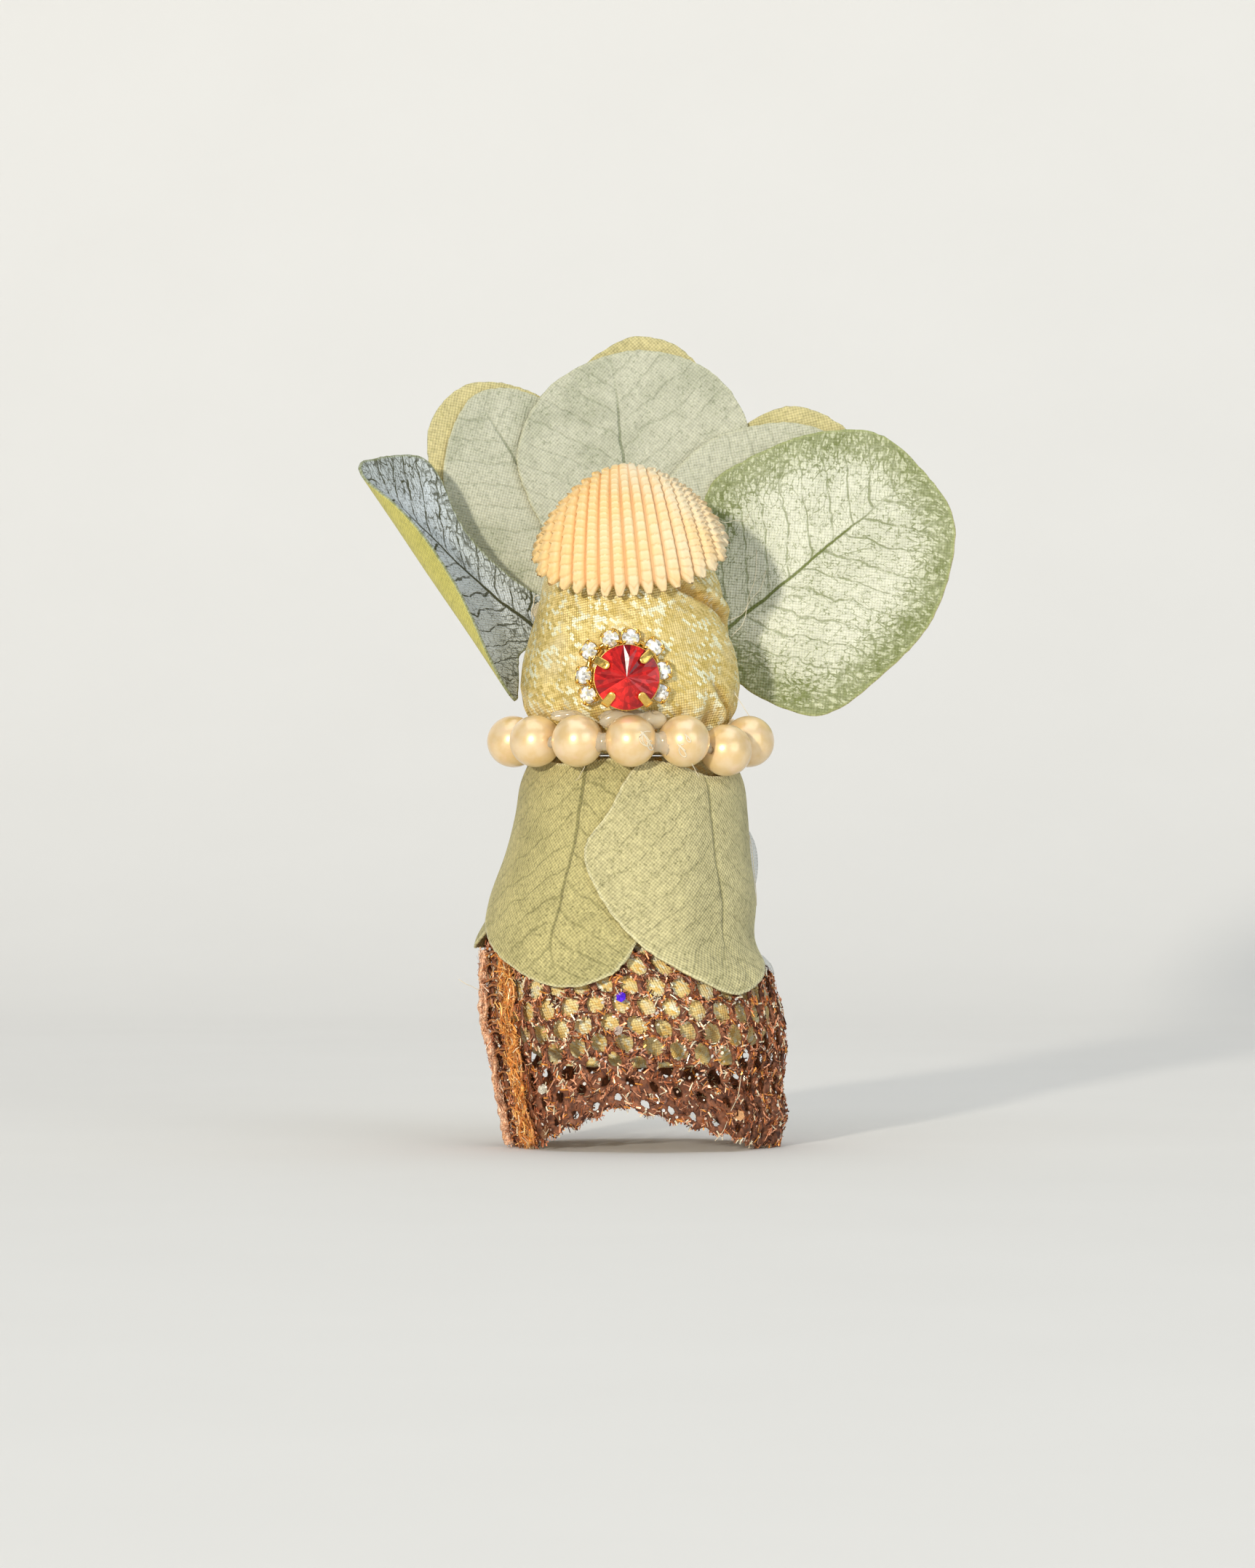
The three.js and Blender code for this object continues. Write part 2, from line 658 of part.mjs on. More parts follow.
function cupChain() {
  const cups = Array.from({ length: CHIP_COUNT }, (_, i) => {
    const block = new THREE.BoxGeometry(CUP_SIDE, CUP_SIDE, CUP_HEIGHT).translate(0, 0, CUP_HEIGHT / 2);
    const wide = CHIP_RADIUS + CHIP_FIT;
    const well = new THREE.CylinderGeometry(wide, wide, CUP_HEIGHT, CHIP_SIDES);
    well.rotateX(Math.PI / 2).translate(0, 0, CUP_FLOOR + CUP_HEIGHT / 2);
    const cup = solid(block).subtract(solid(well));
    return solid(fromSolid(cup).applyMatrix4(chipFrame(i)));
  });
  const links = cups.slice(1).map((_, i) => {
    const lift = new THREE.Vector3(0, 0, LINK_HEIGHT / 2);
    const from = lift.clone().applyMatrix4(chipFrame(i));
    const to = lift.clone().applyMatrix4(chipFrame(i + 1));
    const length = from.distanceTo(to) - CUP_SIDE + 2 * CUP_FLOOR;
    const out = new THREE.Vector3(0, 0, 1).transformDirection(chipFrame(i));
    const along = to.clone().sub(from).normalize();
    const across = along.clone().cross(out).normalize();
    const frame = new THREE.Matrix4().makeBasis(across, along, across.clone().cross(along));
    frame.setPosition(from.clone().lerp(to, 0.5));
    return solid(new THREE.BoxGeometry(LINK_WIDTH, length, LINK_HEIGHT).applyMatrix4(frame));
  });
  return fromSolid([...cups, ...links].reduce((total, piece) => total.add(piece)));
}

// Shell coordinates: across, ahead from the hinge to the far edge, and up out of the edge plane
function shellPlace(across, ahead, up) {
  const point = new THREE.Vector3(across, -ahead, up);
  point.applyAxisAngle(new THREE.Vector3(1, 0, 0), rad(SHELL_TILT));
  point.applyAxisAngle(new THREE.Vector3(0, 1, 0), rad(SHELL_ROLL));
  return point.add(SHELL_HINGE);
}

// Ring of the dome at a share of the way from the umbo to the edge
function shellRing(share, inset, ribDepth, count = RIB_COUNT * 2) {
  return Array.from({ length: count }, (_, i) => {
    const angle = (i / count) * 2 * Math.PI;
    const skew = 1 + SHELL_SKEW * Math.cos(angle);
    const edgeAcross = (SHELL_HALF_WIDTH - inset) * Math.sin(angle) * skew;
    const edgeAhead = SHELL_HALF_LENGTH + (SHELL_HALF_LENGTH - inset) * Math.cos(angle);
    const front = (1 + Math.cos(angle)) / 2;
    const crown = (UMBO_HEIGHT - inset * UMBO_THICKENING) * Math.sqrt(1 - share * share);
    const up = crown + SHELL_BULGE * Math.sin(Math.PI * share) * front;
    const rib = 1 + (i % 2 === 0 ? 1 : -1) * ribDepth * share / (2 * SHELL_HALF_WIDTH);
    const across = edgeAcross * share * rib;
    const umboAhead = UMBO_AHEAD + inset;
    const ahead = THREE.MathUtils.lerp(umboAhead, edgeAhead, share) - SHELL_HALF_LENGTH;
    return shellPlace(across, SHELL_HALF_LENGTH + ahead * rib, up * rib);
  });
}

function shellHat() {
  const outer = SHELL_ROWS.map((share) => shellRing(share, 0, RIB_DEPTH));
  const inner = SHELL_ROWS.toReversed().map((share) => shellRing(share, SHELL_WALL, 0));
  return skin([...outer, ...inner], true);
}

// Hot glue filling part of the space between the head and the shell
function shellGlue() {
  const inset = SHELL_WALL + CLEARANCE;
  const rows = SHELL_ROWS.filter((share) => share < 0.95);
  const dome = solid(skin(rows.map((share) => shellRing(share, inset, 0, RIB_COUNT)), true));
  const blob = blobAt(shellPlace(0, SHELL_GLUE_AHEAD, SHELL_GLUE_UP), SHELL_GLUE_RADIUS);
  return fromSolid(dome.intersect(solid(blob)).subtract(solid(headShape(CLEARANCE))));
}

function fanPoint(x, rise, layer) {
  const y = FAN_DEPTH + FAN_LEAN * rise - FAN_DISH * x * x + layer * FAN_PITCH;
  return new THREE.Vector3(x, y, FAN_HEIGHT + rise);
}

function fanLeaf({ layer, outline }) {
  return clothLeaf(outline, (x, rise) => fanPoint(x, rise, layer));
}

function curlPoint(along, across) {
  const section = new THREE.SplineCurve(CURL_SECTION.map(([e, y]) => new THREE.Vector2(e, y)));
  const length = section.getLength();
  const share = THREE.MathUtils.clamp((across - CURL_NEAR) / length, 0, 1);
  const at = section.getPointAt(share);
  const slope = rad(CURL_SLOPE);
  const x = CURL_BASE.x + along * Math.cos(slope) + at.x * Math.sin(slope);
  const z = CURL_BASE.z + along * Math.sin(slope) - at.x * Math.cos(slope);
  return new THREE.Vector3(x, at.y, z);
}

function fanLeft() {
  return clothLeaf(CURL_OUTLINE, curlPoint);
}

// Hot glue between the side of the head and the curled leaf
function fanLeftGlue() {
  const thick = LEAF_THICKNESS + 2 * CLEARANCE;
  const leaf = solid(clothLeaf(CURL_OUTLINE, curlPoint, LEAF_RINGS, thick));
  const at = curlPoint(...CURL_GLUE_AT);
  const inward = new THREE.Vector3(DOLL_MIDDLE, 0, at.z).sub(at).normalize();
  const blob = solid(blobAt(at.addScaledVector(inward, CURL_GLUE_INSET), CURL_GLUE_RADIUS));
  return fromSolid(blob.subtract(leaf).subtract(solid(headShape(CLEARANCE))));
}

// Hot glue between the back of the head and the fan
function fanGlue() {
  const front = (x, rise) => {
    const z = FAN_HEIGHT + rise;
    return new THREE.Vector3(x, headDepth(x, z) + CLEARANCE, z);
  };
  const seat = new THREE.Vector3(0, -LEAF_THICKNESS / 2 - CLEARANCE, 0);
  const back = (x, rise) => fanPoint(x, rise, 0).add(seat);
  return slab(FAN_GLUE_OUTLINE, front, back);
}

function dressLeaf({ layer, settle, outline }) {
  return clothLeaf(outline.map(([degrees, z]) => [rad(degrees) * DRESS_FLAT_RADIUS, z]), (u, z) => {
    const angle = u / DRESS_FLAT_RADIUS;
    const ease = THREE.MathUtils.smoothstep(angle, rad(SETTLE_FROM), rad(SETTLE_TO));
    const level = THREE.MathUtils.lerp(layer, settle ?? layer, ease);
    return onGirth(angle, z, level * DRESS_PITCH + LEAF_THICKNESS / 2);
  }, WRAPPED_RINGS);
}

// Hot glue above the front pearls, under the red stone
function collarGlue() {
  const { x: wide, y: deep, z: high } = COLLAR_GLUE_SIZE;
  const lump = new THREE.SphereGeometry(1, BLOB_SIDES, BLOB_ROWS).scale(wide, deep, high);
  const blob = solid(lump.translate(COLLAR_GLUE_AT.x, COLLAR_GLUE_AT.y, COLLAR_GLUE_AT.z));
  const cuts = [headShape(CLEARANCE)];
  for (const index of [PEARL_COUNT - 1, 0, 1]) {
    cuts.push(blobAt(pearlCentre(index), PEARL_RADIUS + CLEARANCE));
  }
  cuts.push(onForehead(turned([...bowlOutside(CLEARANCE), [0, STONE_GIRDLE]], STONE_SIDES)));
  const room = CUP_SIDE + 2 * CLEARANCE;
  for (const index of [0, CHIP_COUNT - 1]) {
    cuts.push(new THREE.BoxGeometry(room, room, 2 * CUP_HEIGHT).applyMatrix4(chipFrame(index)));
  }
  return fromSolid(cuts.reduce((left, cut) => left.subtract(solid(cut)), blob));
}

function piece(name, geometry, colour, metalness = 0, roughness = 0.8) {
  const material = new THREE.MeshStandardMaterial({ color: COLOURS[colour], metalness, roughness });
  const mesh = new THREE.Mesh(geometry, material);
  mesh.name = name;
  return mesh;
}

const numbered = (name, index) => `${name}_${String(index + 1).padStart(2, '0')}`;

const doll = new THREE.Group();
doll.name = 'art_doll';
doll.add(piece('body', body(), 'gold', 0.5, 0.5));
doll.add(piece('lining', lining(), 'white'));
doll.add(piece('net_skirt', netSkirt(), 'copper'));
doll.add(piece('net_selvage', netSelvage(), 'rust'));
doll.add(piece('head', headShape(0), 'gold', 0.5, 0.5));
for (const [name, leaf] of Object.entries(DRESS_LEAVES)) doll.add(piece(name, dressLeaf(leaf), 'sage'));
for (let i = 0; i < PEARL_COUNT; i += 1) doll.add(piece(numbered('pearl', i), pearl(i), 'pearl', 0, 0.3));
doll.add(piece('pearl_strand', pearlStrand(), 'white'));
doll.add(piece('collar_glue', collarGlue(), 'glue', 0, 0.3));
doll.add(piece('red_stone', redStone(), 'red', 0, 0.1));
doll.add(piece('stone_setting', stoneSetting(), 'gilt', 0.9, 0.3));
for (let i = 0; i < CHIP_COUNT; i += 1) doll.add(piece(numbered('clear_stone', i), chip(i), 'clear', 0, 0.1));
doll.add(piece('cup_chain', cupChain(), 'gilt', 0.9, 0.3));
doll.add(piece('shell_hat', shellHat(), 'shell'));
doll.add(piece('shell_glue', shellGlue(), 'glue', 0, 0.3));
doll.add(piece('fan_left', fanLeft(), 'leaf'));
doll.add(piece('fan_left_glue', fanLeftGlue(), 'glue', 0, 0.3));
for (const [name, leaf] of Object.entries(FAN_LEAVES)) {
  doll.add(piece(name, fanLeaf(leaf), name.endsWith('back') ? 'lime' : 'leaf'));
}
doll.add(piece('fan_glue', fanGlue(), 'glue', 0, 0.3));

// Stand the doll on the floor with the middle of its box at the origin
const box = new THREE.Box3().setFromObject(doll);
const middle = box.getCenter(new THREE.Vector3());
for (const mesh of doll.children) mesh.geometry.translate(-middle.x, -middle.y, -box.min.z);

export default doll;
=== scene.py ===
"""Looks of a cloth doll with a shell hat, a fan of leaves, a pearl collar and a net skirt."""
import json
import math

import bpy
import numpy as np
from mathutils import Matrix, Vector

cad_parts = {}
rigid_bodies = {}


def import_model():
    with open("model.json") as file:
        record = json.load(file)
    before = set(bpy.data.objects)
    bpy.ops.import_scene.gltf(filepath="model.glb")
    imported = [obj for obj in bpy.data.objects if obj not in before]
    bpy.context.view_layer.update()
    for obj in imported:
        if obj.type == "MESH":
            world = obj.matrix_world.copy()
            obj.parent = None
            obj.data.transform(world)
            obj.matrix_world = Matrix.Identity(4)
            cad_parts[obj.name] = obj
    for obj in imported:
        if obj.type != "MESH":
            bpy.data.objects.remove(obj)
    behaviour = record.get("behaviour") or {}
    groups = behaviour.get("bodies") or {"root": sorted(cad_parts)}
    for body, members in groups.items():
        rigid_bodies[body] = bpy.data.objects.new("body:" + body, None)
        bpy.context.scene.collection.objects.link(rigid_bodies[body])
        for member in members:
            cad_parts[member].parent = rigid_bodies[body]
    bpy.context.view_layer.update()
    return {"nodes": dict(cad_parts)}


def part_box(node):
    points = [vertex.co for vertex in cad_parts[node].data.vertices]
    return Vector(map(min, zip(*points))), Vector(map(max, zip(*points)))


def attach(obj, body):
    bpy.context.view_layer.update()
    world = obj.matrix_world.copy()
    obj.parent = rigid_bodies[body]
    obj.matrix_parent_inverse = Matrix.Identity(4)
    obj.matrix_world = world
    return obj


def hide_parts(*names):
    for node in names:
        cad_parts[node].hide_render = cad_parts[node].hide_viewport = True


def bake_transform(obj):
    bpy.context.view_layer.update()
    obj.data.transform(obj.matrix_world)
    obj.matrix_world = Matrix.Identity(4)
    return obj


for leftover in list(bpy.data.objects):
    bpy.data.objects.remove(leftover)
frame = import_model()

# Sizes are in millimetres on the drawing, whose origin is under the middle of the camera's view
MM = 0.001
DOLL_MIDDLE = 0.5
head_low, head_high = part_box("head")
SHIFT = np.array([
    (head_low.x + head_high.x) / 2 / MM - DOLL_MIDDLE,
    (head_low.y + head_high.y) / 2 / MM,
    0.0,
])
TURN = 2 * math.pi
FLOOR_GAP = 0.02
rng = np.random.default_rng(7)

# Surface that the dress leaves lie on: height, middle, half width
GIRTH = np.array([
    [0, 2.95, 20.95], [5, 3.0, 22.15], [9, 2.3, 22.2], [16, 1.85, 23.15], [20, 1.25, 23.35],
    [24, 0.65, 22.85], [27, 0.1, 22.4], [31, -1.5, 20.8], [38.5, -0.8, 19.6], [46, 0.1, 17.8],
    [52, 0.65, 16.85], [56.5, 0.75, 16.2], [61, 0.7, 14.4],
])
DEPTH_RATIO = 0.92

# Stuffed body: height, middle, half width of its belly; above the waist it follows the dress
BELLY = np.array([
    [12.4, 1.6, 0.5], [12.6, 1.6, 9], [13.6, 1.6, 14.6], [16.6, 1.5, 18.8], [22, 1.0, 21.0], [27, -0.2, 20.6],
    [31, -1.5, 19.3],
])
BELLY_STEPS = [0.04, 0.08, 0.14, 0.22, 0.34, 0.55, 0.85, 1.2]
WAIST = 31
BODY_TOP = 60.8
WRAP_INSET = 1.5

# Net skirt
NET_TOP = 36
NET_OFFSET = -0.75
NET_STEP = 0.01
NOTCH_HEIGHT = 6.9
NOTCH_SIDE = -0.19
HEM_REST = 0.88
FOLD_COUNT = 9
FOLD_DEPTH = 0.55
NET_COLUMNS = 35
NET_ROWS = 9
COLUMN_PITCH = 4.07
ROW_PITCH = 3.7
CELL_HALF = COLUMN_PITCH / 2
CELL_TIP = (CELL_HALF**2 + ROW_PITCH**2) / (2 * ROW_PITCH)
HOLE_HALF_WIDTH = 1.5
HOLE_HALF_HEIGHT = 1.98
HOLE_AT_HEM = 0.36
MATTED_BEHIND = 0.5
NET_THICKNESS = 0.45
FIBRES_PER_CELL = 95
SEQUIN_LIFT = 0.75
SELVAGE_ANGLE = math.radians(-66)
SELVAGE_GIRTH = 22.5
SELVAGE_LOW = 0.6
SELVAGE_HIGH = 30.6
SELVAGE_LEAN = 0.09
SELVAGE_FIBRES = 1900
COPPERS = [(0.08, 0.024, 0.012), (0.52, 0.17, 0.07), (0.88, 0.4, 0.22), (0.85, 0.33, 0.06), (1.0, 0.86, 0.6)]

# Head, turned about the middle of the doll: height, radius
HEAD = np.array([
    [61.1, 13.6], [62.6, 14.3], [65.4, 14.5], [68.2, 16.3], [71.6, 16.9], [76, 16.5], [81, 15.6], [88, 13.8],
    [93, 11.6], [97, 8.4], [99.2, 4.4], [99.7, 0],
])

# Radius at which each cloth is unrolled for its weave
HEAD_WRAP = 15.5
BODY_WRAP = 19
LINING_WRAP = 18

# Pearl collar
PEARL_RADIUS = 4
PEARL_BORE = 0.62
PEARL_COUNT = 14
STRAND_RADIUS = 0.3
COLLAR_RADIUS = 18.8
COLLAR_HEIGHT = 63.1
COLLAR_DIP = 1.4
DIPPED_PEARL = 2
GLUE_THREAD = 0.055

# Red stone and its setting, as distances out from the head cloth
STONE_SIDE = -0.1
STONE_HEIGHT = 72.8
STONE_RADIUS = 5
STONE_GIRDLE = 3.0
STONE_CROWN = 3.3
STONE_APEX = 5.2
STONE_FACETS = 14
# Painted reflections: facet colours run from deep to bright red, and one facet takes the painted glint colour
STONE_DEEP = np.array([0.16, 0.004, 0.006])
STONE_BRIGHT = np.array([0.96, 0.03, 0.024])
STONE_GLINT = np.array([0.98, 0.8, 0.74])
GLINT_FACET = 3
PRONG_ANGLES = [150, 46, 231, 309]

# Clear stones in their cup chain
CHIP_SPOTS = [
    (-6.1, -2.7), (-6.8, 0.4), (-5.9, 4.2), (-2.6, 6.0), (0.6, 6.2), (4.2, 4.7), (5.6, 1.1), (5.2, -2.4),
]
CHIP_RADIUS = 1.34
CHIP_GIRDLE = 1.36
CHIP_TOP = 2.1
CHIP_FACETS = 8
CUP_SIDE = 2.92
CUP_LIFT = 0.45

# Shell hat
SHELL_HALF_WIDTH = 14.2
SHELL_HALF_LENGTH = 12.2
SHELL_HINGE = np.array([-0.3, 2.2, 101.4])
SHELL_TILT = math.radians(40)
SHELL_ROLL = math.radians(-5)
SHELL_SKEW = 0.18
UMBO_AHEAD = 4
UMBO_HEIGHT = 9.6
SHELL_BULGE = 1.6
SHELL_WALL = 1.2
RIB_ANGLE = math.radians(2.3)
RIB_ORIGIN = 30
RIB_DEPTH = 0.42
SCALE_PITCH = 1.5
SCALE_DEPTH = 0.3

# Leaves
LEAF_HALF = 0.2
LEAF_PITCH = 0.85
LEAF_FRAY = 0.05
LEAF_RIM_REACH = 20
LEAF_STEP = 0.02
FAN_DEPTH = 17.4
FAN_HEIGHT = 85
FAN_LEAN = 0.12
FAN_DISH = 0.004
CURL_ROOT = (-16.9, 68.2)
CURL_SLOPE = math.radians(124)
CURL_NEAR = -9
DRESS_TOP = 59.6
DRESS_FLAT_RADIUS = 20
DRESS_GAP = 0.225
SETTLE_FROM = math.radians(24)
SETTLE_TO = math.radians(44)

# Studio, in metres
CAMERA_DISTANCE = 0.9
CAMERA_HEIGHT = 0.0565
CAMERA_FIELD = 0.245
SENSOR = 36
LAMP_AIM = np.array([0.0, 0.0, 0.065])
LAMPS = (
    ("key", (-0.82, -2.34, 0.52), 0.13, 44.0, (1.0, 0.95, 0.85)),
    ("fill", (1.1, -1.4, 0.5), 1.2, 8.0, (0.82, 0.92, 1.0)),
    ("top", (0.0, -0.1, 1.5), 1.6, 9.0, (0.93, 0.97, 1.0)),
)
ROOM_LIGHT = (0.84, 0.93, 1, 1)
ROOM_STRENGTH = 0.33


def hermite(t, start, end, leaving, arriving):
    """Cubic between two ends with a slope at each."""
    return ((2 * t**3 - 3 * t**2 + 1) * start + (t**3 - 2 * t**2 + t) * leaving
            + (3 * t**2 - 2 * t**3) * end + (t**3 - t**2) * arriving)


def smooth(table, x):
    """Columns of a table at x, on a smooth curve through its rows."""
    keys, values = table[:, 0], table[:, 1:]
    slopes = np.gradient(values, keys, axis=0)
    x = np.asarray(x, float)
    i = np.clip(np.searchsorted(keys, x) - 1, 0, len(keys) - 2)
    step = keys[i + 1] - keys[i]
    t = np.clip((x - keys[i]) / step, 0, 1)[..., None]
    step = step[..., None]
    return hermite(t, values[i], values[i + 1], step * slopes[i], step * slopes[i + 1])


def smoothstep(x, low, high):
    t = np.clip((x - low) / (high - low), 0, 1)
    return t * t * (3 - 2 * t)


def bump_at(x, middle, width):
    return np.exp(-(((x - middle) / width) ** 2))


def unit(v):
    return v / np.linalg.norm(v, axis=-1, keepdims=True)


def turns(count):
    """Even steps once round, from 0."""
    return np.linspace(0, TURN, count, endpoint=False)


def around_from_back(columns):
    """Even steps once round, from the back, as one row."""
    return np.linspace(-math.pi, math.pi, columns, endpoint=False)[None, :]


def round_points(middle, wide, deep, angle, z):
    """Points at an angle from the front, positive to the right in view."""
    x = middle + wide * np.sin(angle)
    return np.stack([x, -deep * np.cos(angle), z + 0 * x], axis=-1)


def on_girth(angle, z, offset):
    """Point on the surface that the dress lies on."""
    size = smooth(GIRTH, z)
    half = size[..., 1]
    return round_points(size[..., 0], half + offset, half * DEPTH_RATIO + offset, angle, z)


def hem_height(angle):
    side = np.sin(angle)
    reach = np.where(side < NOTCH_SIDE, HEM_REST + NOTCH_SIDE, HEM_REST - NOTCH_SIDE)
    return NOTCH_HEIGHT * np.maximum(0, 1 - np.abs(side - NOTCH_SIDE) / reach)


def net_point(angle, height, offset):
    """Point on the net: the height runs from the hem, which is lifted at the notch."""
    z = height + hem_height(angle) * np.maximum(0, 1 - height / WAIST)
    loose = 1 - z / NET_TOP
    fold = FOLD_DEPTH * loose * (np.cos(FOLD_COUNT * angle) - 1)
    return on_girth(angle, z, fold + offset)


def net_frame(angle, height, offset):
    """Point on the net, with the directions along it and up it."""
    at = net_point(angle, height, offset)
    east = unit(net_point(angle + NET_STEP, height, offset) - at)
    up = unit(net_point(angle, height + NET_STEP, offset) - at)
    return at, east, up


def head_depth(x, z):
    """Depth of the head cloth at a point seen from the front or back."""
    r = np.interp(z, HEAD[:, 0], HEAD[:, 1])
    across = np.minimum(np.abs(x - DOLL_MIDDLE), r)
    return np.sqrt(r * r - across * across)


def run_along(line):
    """Distance along a line to each of its points."""
    return np.concatenate([[0], np.cumsum(np.linalg.norm(np.diff(line, axis=0), axis=1))])


def even_spacing(line, count):
    run = run_along(line)
    at = np.linspace(0, run[-1], count)
    return np.stack([np.interp(at, run, column) for column in line.T], axis=-1)


def smooth_loop(points, count):
    """Closed centripetal curve through points, sampled at even spacing."""
    p1 = np.array(points, float)
    p0, p2, p3 = (np.roll(p1, k, axis=0) for k in (1, -1, -2))
    d0, d1, d2 = (np.linalg.norm(b - a, axis=1)[:, None] ** 0.5 for a, b in ((p0, p1), (p1, p2), (p2, p3)))
    m1 = ((p1 - p0) / d0 - (p2 - p0) / (d0 + d1) + (p2 - p1) / d1) * d1
    m2 = ((p2 - p1) / d1 - (p3 - p1) / (d1 + d2) + (p3 - p2) / d2) * d1
    t = np.linspace(0, 1, 40, endpoint=False)[None, :, None]
    fine = hermite(t, p1[:, None], p2[:, None], m1[:, None], m2[:, None]).reshape(-1, 2)
    return even_spacing(np.vstack([fine, fine[:1]]), count + 1)[:-1]


def signed_area(loop):
    x, y = loop[:, 0], loop[:, 1]
    return float(np.sum(x * np.roll(y, -1) - y * np.roll(x, -1))) / 2


def ring_faces(rings, count, closed=True, start=0):
    """Quads between rings of points that follow each other."""
    faces = []
    for low in range(start, start + (rings - 1) * count, count):
        for i in range(count if closed else count - 1):
            j = (i + 1) % count
            faces.append((low + i, low + j, low + count + j, low + count + i))
    return faces


def capped(rings, count, inward=False):
    """Quads between rings, and a face over either end."""
    faces = ring_faces(rings, count)
    faces.append(tuple(range(count))[::-1])
    faces.append(tuple(range((rings - 1) * count, rings * count)))
    return [face[::-1] for face in faces] if inward else faces


def joined(parts):
    """Points and faces of several shapes as one."""
    points = []
    faces = []
    start = 0
    for some, made in parts:
        points.append(some)
        faces += [tuple(start + i for i in face) for face in made]
        start += len(some)
    return np.vstack(points), faces


def tube(path, radius, sides, closed=False, taper=1.0):
    """Points and faces of a round tube along a path; the taper scales its radius from point to point."""
    path = np.asarray(path, float)
    count = len(path)
    if closed:
        ahead = unit(np.roll(path, -1, axis=0) - np.roll(path, 1, axis=0))
    else:
        ahead = unit(np.gradient(path, axis=0))
    aside = unit(np.cross(ahead, [0.31, 0.22, 0.925]))
    third = np.cross(ahead, aside)
    turn = turns(sides)[None, :, None]
    spokes = np.cos(turn) * aside[:, None] + np.sin(turn) * third[:, None]
    radii = radius * np.ones(count) * taper
    points = (path[:, None] + radii[:, None, None] * spokes).reshape(-1, 3)
    if not closed:
        return points, capped(count, sides)
    last = (count - 1) * sides
    seam = [(last + i, last + (i + 1) % sides, (i + 1) % sides, i) for i in range(sides)]
    return points, ring_faces(count, sides) + seam


def lump(centre, size, rough, seed):
    """Round blob with an uneven skin."""
    rows, columns = 22, 32
    polar = np.linspace(0.04, math.pi - 0.04, rows)[:, None]
    turn = turns(columns)[None, :]
    wave = np.sin(3 * turn + seed) * np.sin(2 * polar + seed) + 0.6 * np.sin(5 * turn - 2 * seed + polar)
    wave = 1 + rough * wave
    x = np.sin(polar) * np.cos(turn) * wave
    y = np.sin(polar) * np.sin(turn) * wave
    z = np.cos(polar) * wave
    points = (np.stack([x, y, z], axis=-1) * np.array(size) + np.array(centre)).reshape(-1, 3)
    return points, capped(rows, columns, inward=True)


def above_floor(points):
    points[:, 2] = np.maximum(points[:, 2], FLOOR_GAP)
    return points


def cloth_uv(angle, z, radius):
    """Cloth coordinates of rows of points wrapped at a radius."""
    return np.stack(np.broadcast_arrays(angle * radius, z), axis=-1).reshape(-1, 2)


def close_seam(mesh, spread, around):
    """Carry the faces that cross the seam of a turned piece on past it."""
    starts, totals = np.zeros((2, len(mesh.polygons)), int)
    mesh.polygons.foreach_get("loop_start", starts)
    mesh.polygons.foreach_get("loop_total", totals)
    highest = np.repeat(np.maximum.reduceat(spread[:, 0], starts), totals)
    spread[spread[:, 0] < highest - around / 2, 0] += around


def link(name, data):
    item = bpy.data.objects.new(name, data)
    bpy.context.scene.collection.objects.link(item)
    return item


def make(name, points, faces, materials, slot, replaces=None, body="doll", flat=False, uv=None, paint=None,
         which=None, around=None):
    """A piece of the object from points on the drawing."""
    mesh = bpy.data.meshes.new(name)
    mesh.from_pydata(((np.asarray(points, float) + SHIFT) * MM).tolist(), [], faces)
    for material in materials:
        mesh.materials.append(material)
    if not flat:
        mesh.polygons.foreach_set("use_smooth", [True] * len(mesh.polygons))
    if which is not None:
        mesh.polygons.foreach_set("material_index", which)
    if uv is not None:
        corners = np.zeros(len(mesh.loops), int)
        mesh.loops.foreach_get("vertex_index", corners)
        spread = np.asarray(uv, np.float32)[corners]
        if around:
            close_seam(mesh, spread, around)
        mesh.uv_layers.new(name="UVMap").data.foreach_set("uv", spread.ravel())
    if paint is not None:
        layer = mesh.color_attributes.new(name="paint", type="FLOAT_COLOR", domain="POINT")
        rgba = np.ones((len(points), 4), np.float32)
        rgba[:, :3] = paint
        layer.data.foreach_set("color", rgba.ravel())
    mesh.update()
    piece = link(name, mesh)
    if body:
        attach(piece, body)
    if replaces:
        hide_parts(replaces)
    return piece


def thicken(piece, name, thickness):
    solid = piece.modifiers.new(name, "SOLIDIFY")
    solid.thickness = thickness * MM
    return solid


class Wire:
    """Output of a shader node, for sums with numbers and other outputs."""

    def __init__(self, paint, socket):
        self.paint = paint
        self.socket = socket

    def __add__(self, other):
        return self.paint.math("ADD", self, other)

    def __sub__(self, other):
        return self.paint.math("SUBTRACT", self, other)

    def __mul__(self, other):
        return self.paint.math("MULTIPLY", self, other)

    def __truediv__(self, other):
        return self.paint.math("DIVIDE", self, other)

    def __abs__(self):
        return self.paint.math("ABSOLUTE", self)

    def step(self, low, high, start=0.0, end=1.0):
        """Smooth step from start at low to end at high."""
        return self.paint.node("MapRange", (self, low, high, start, end), interpolation_type="SMOOTHSTEP")


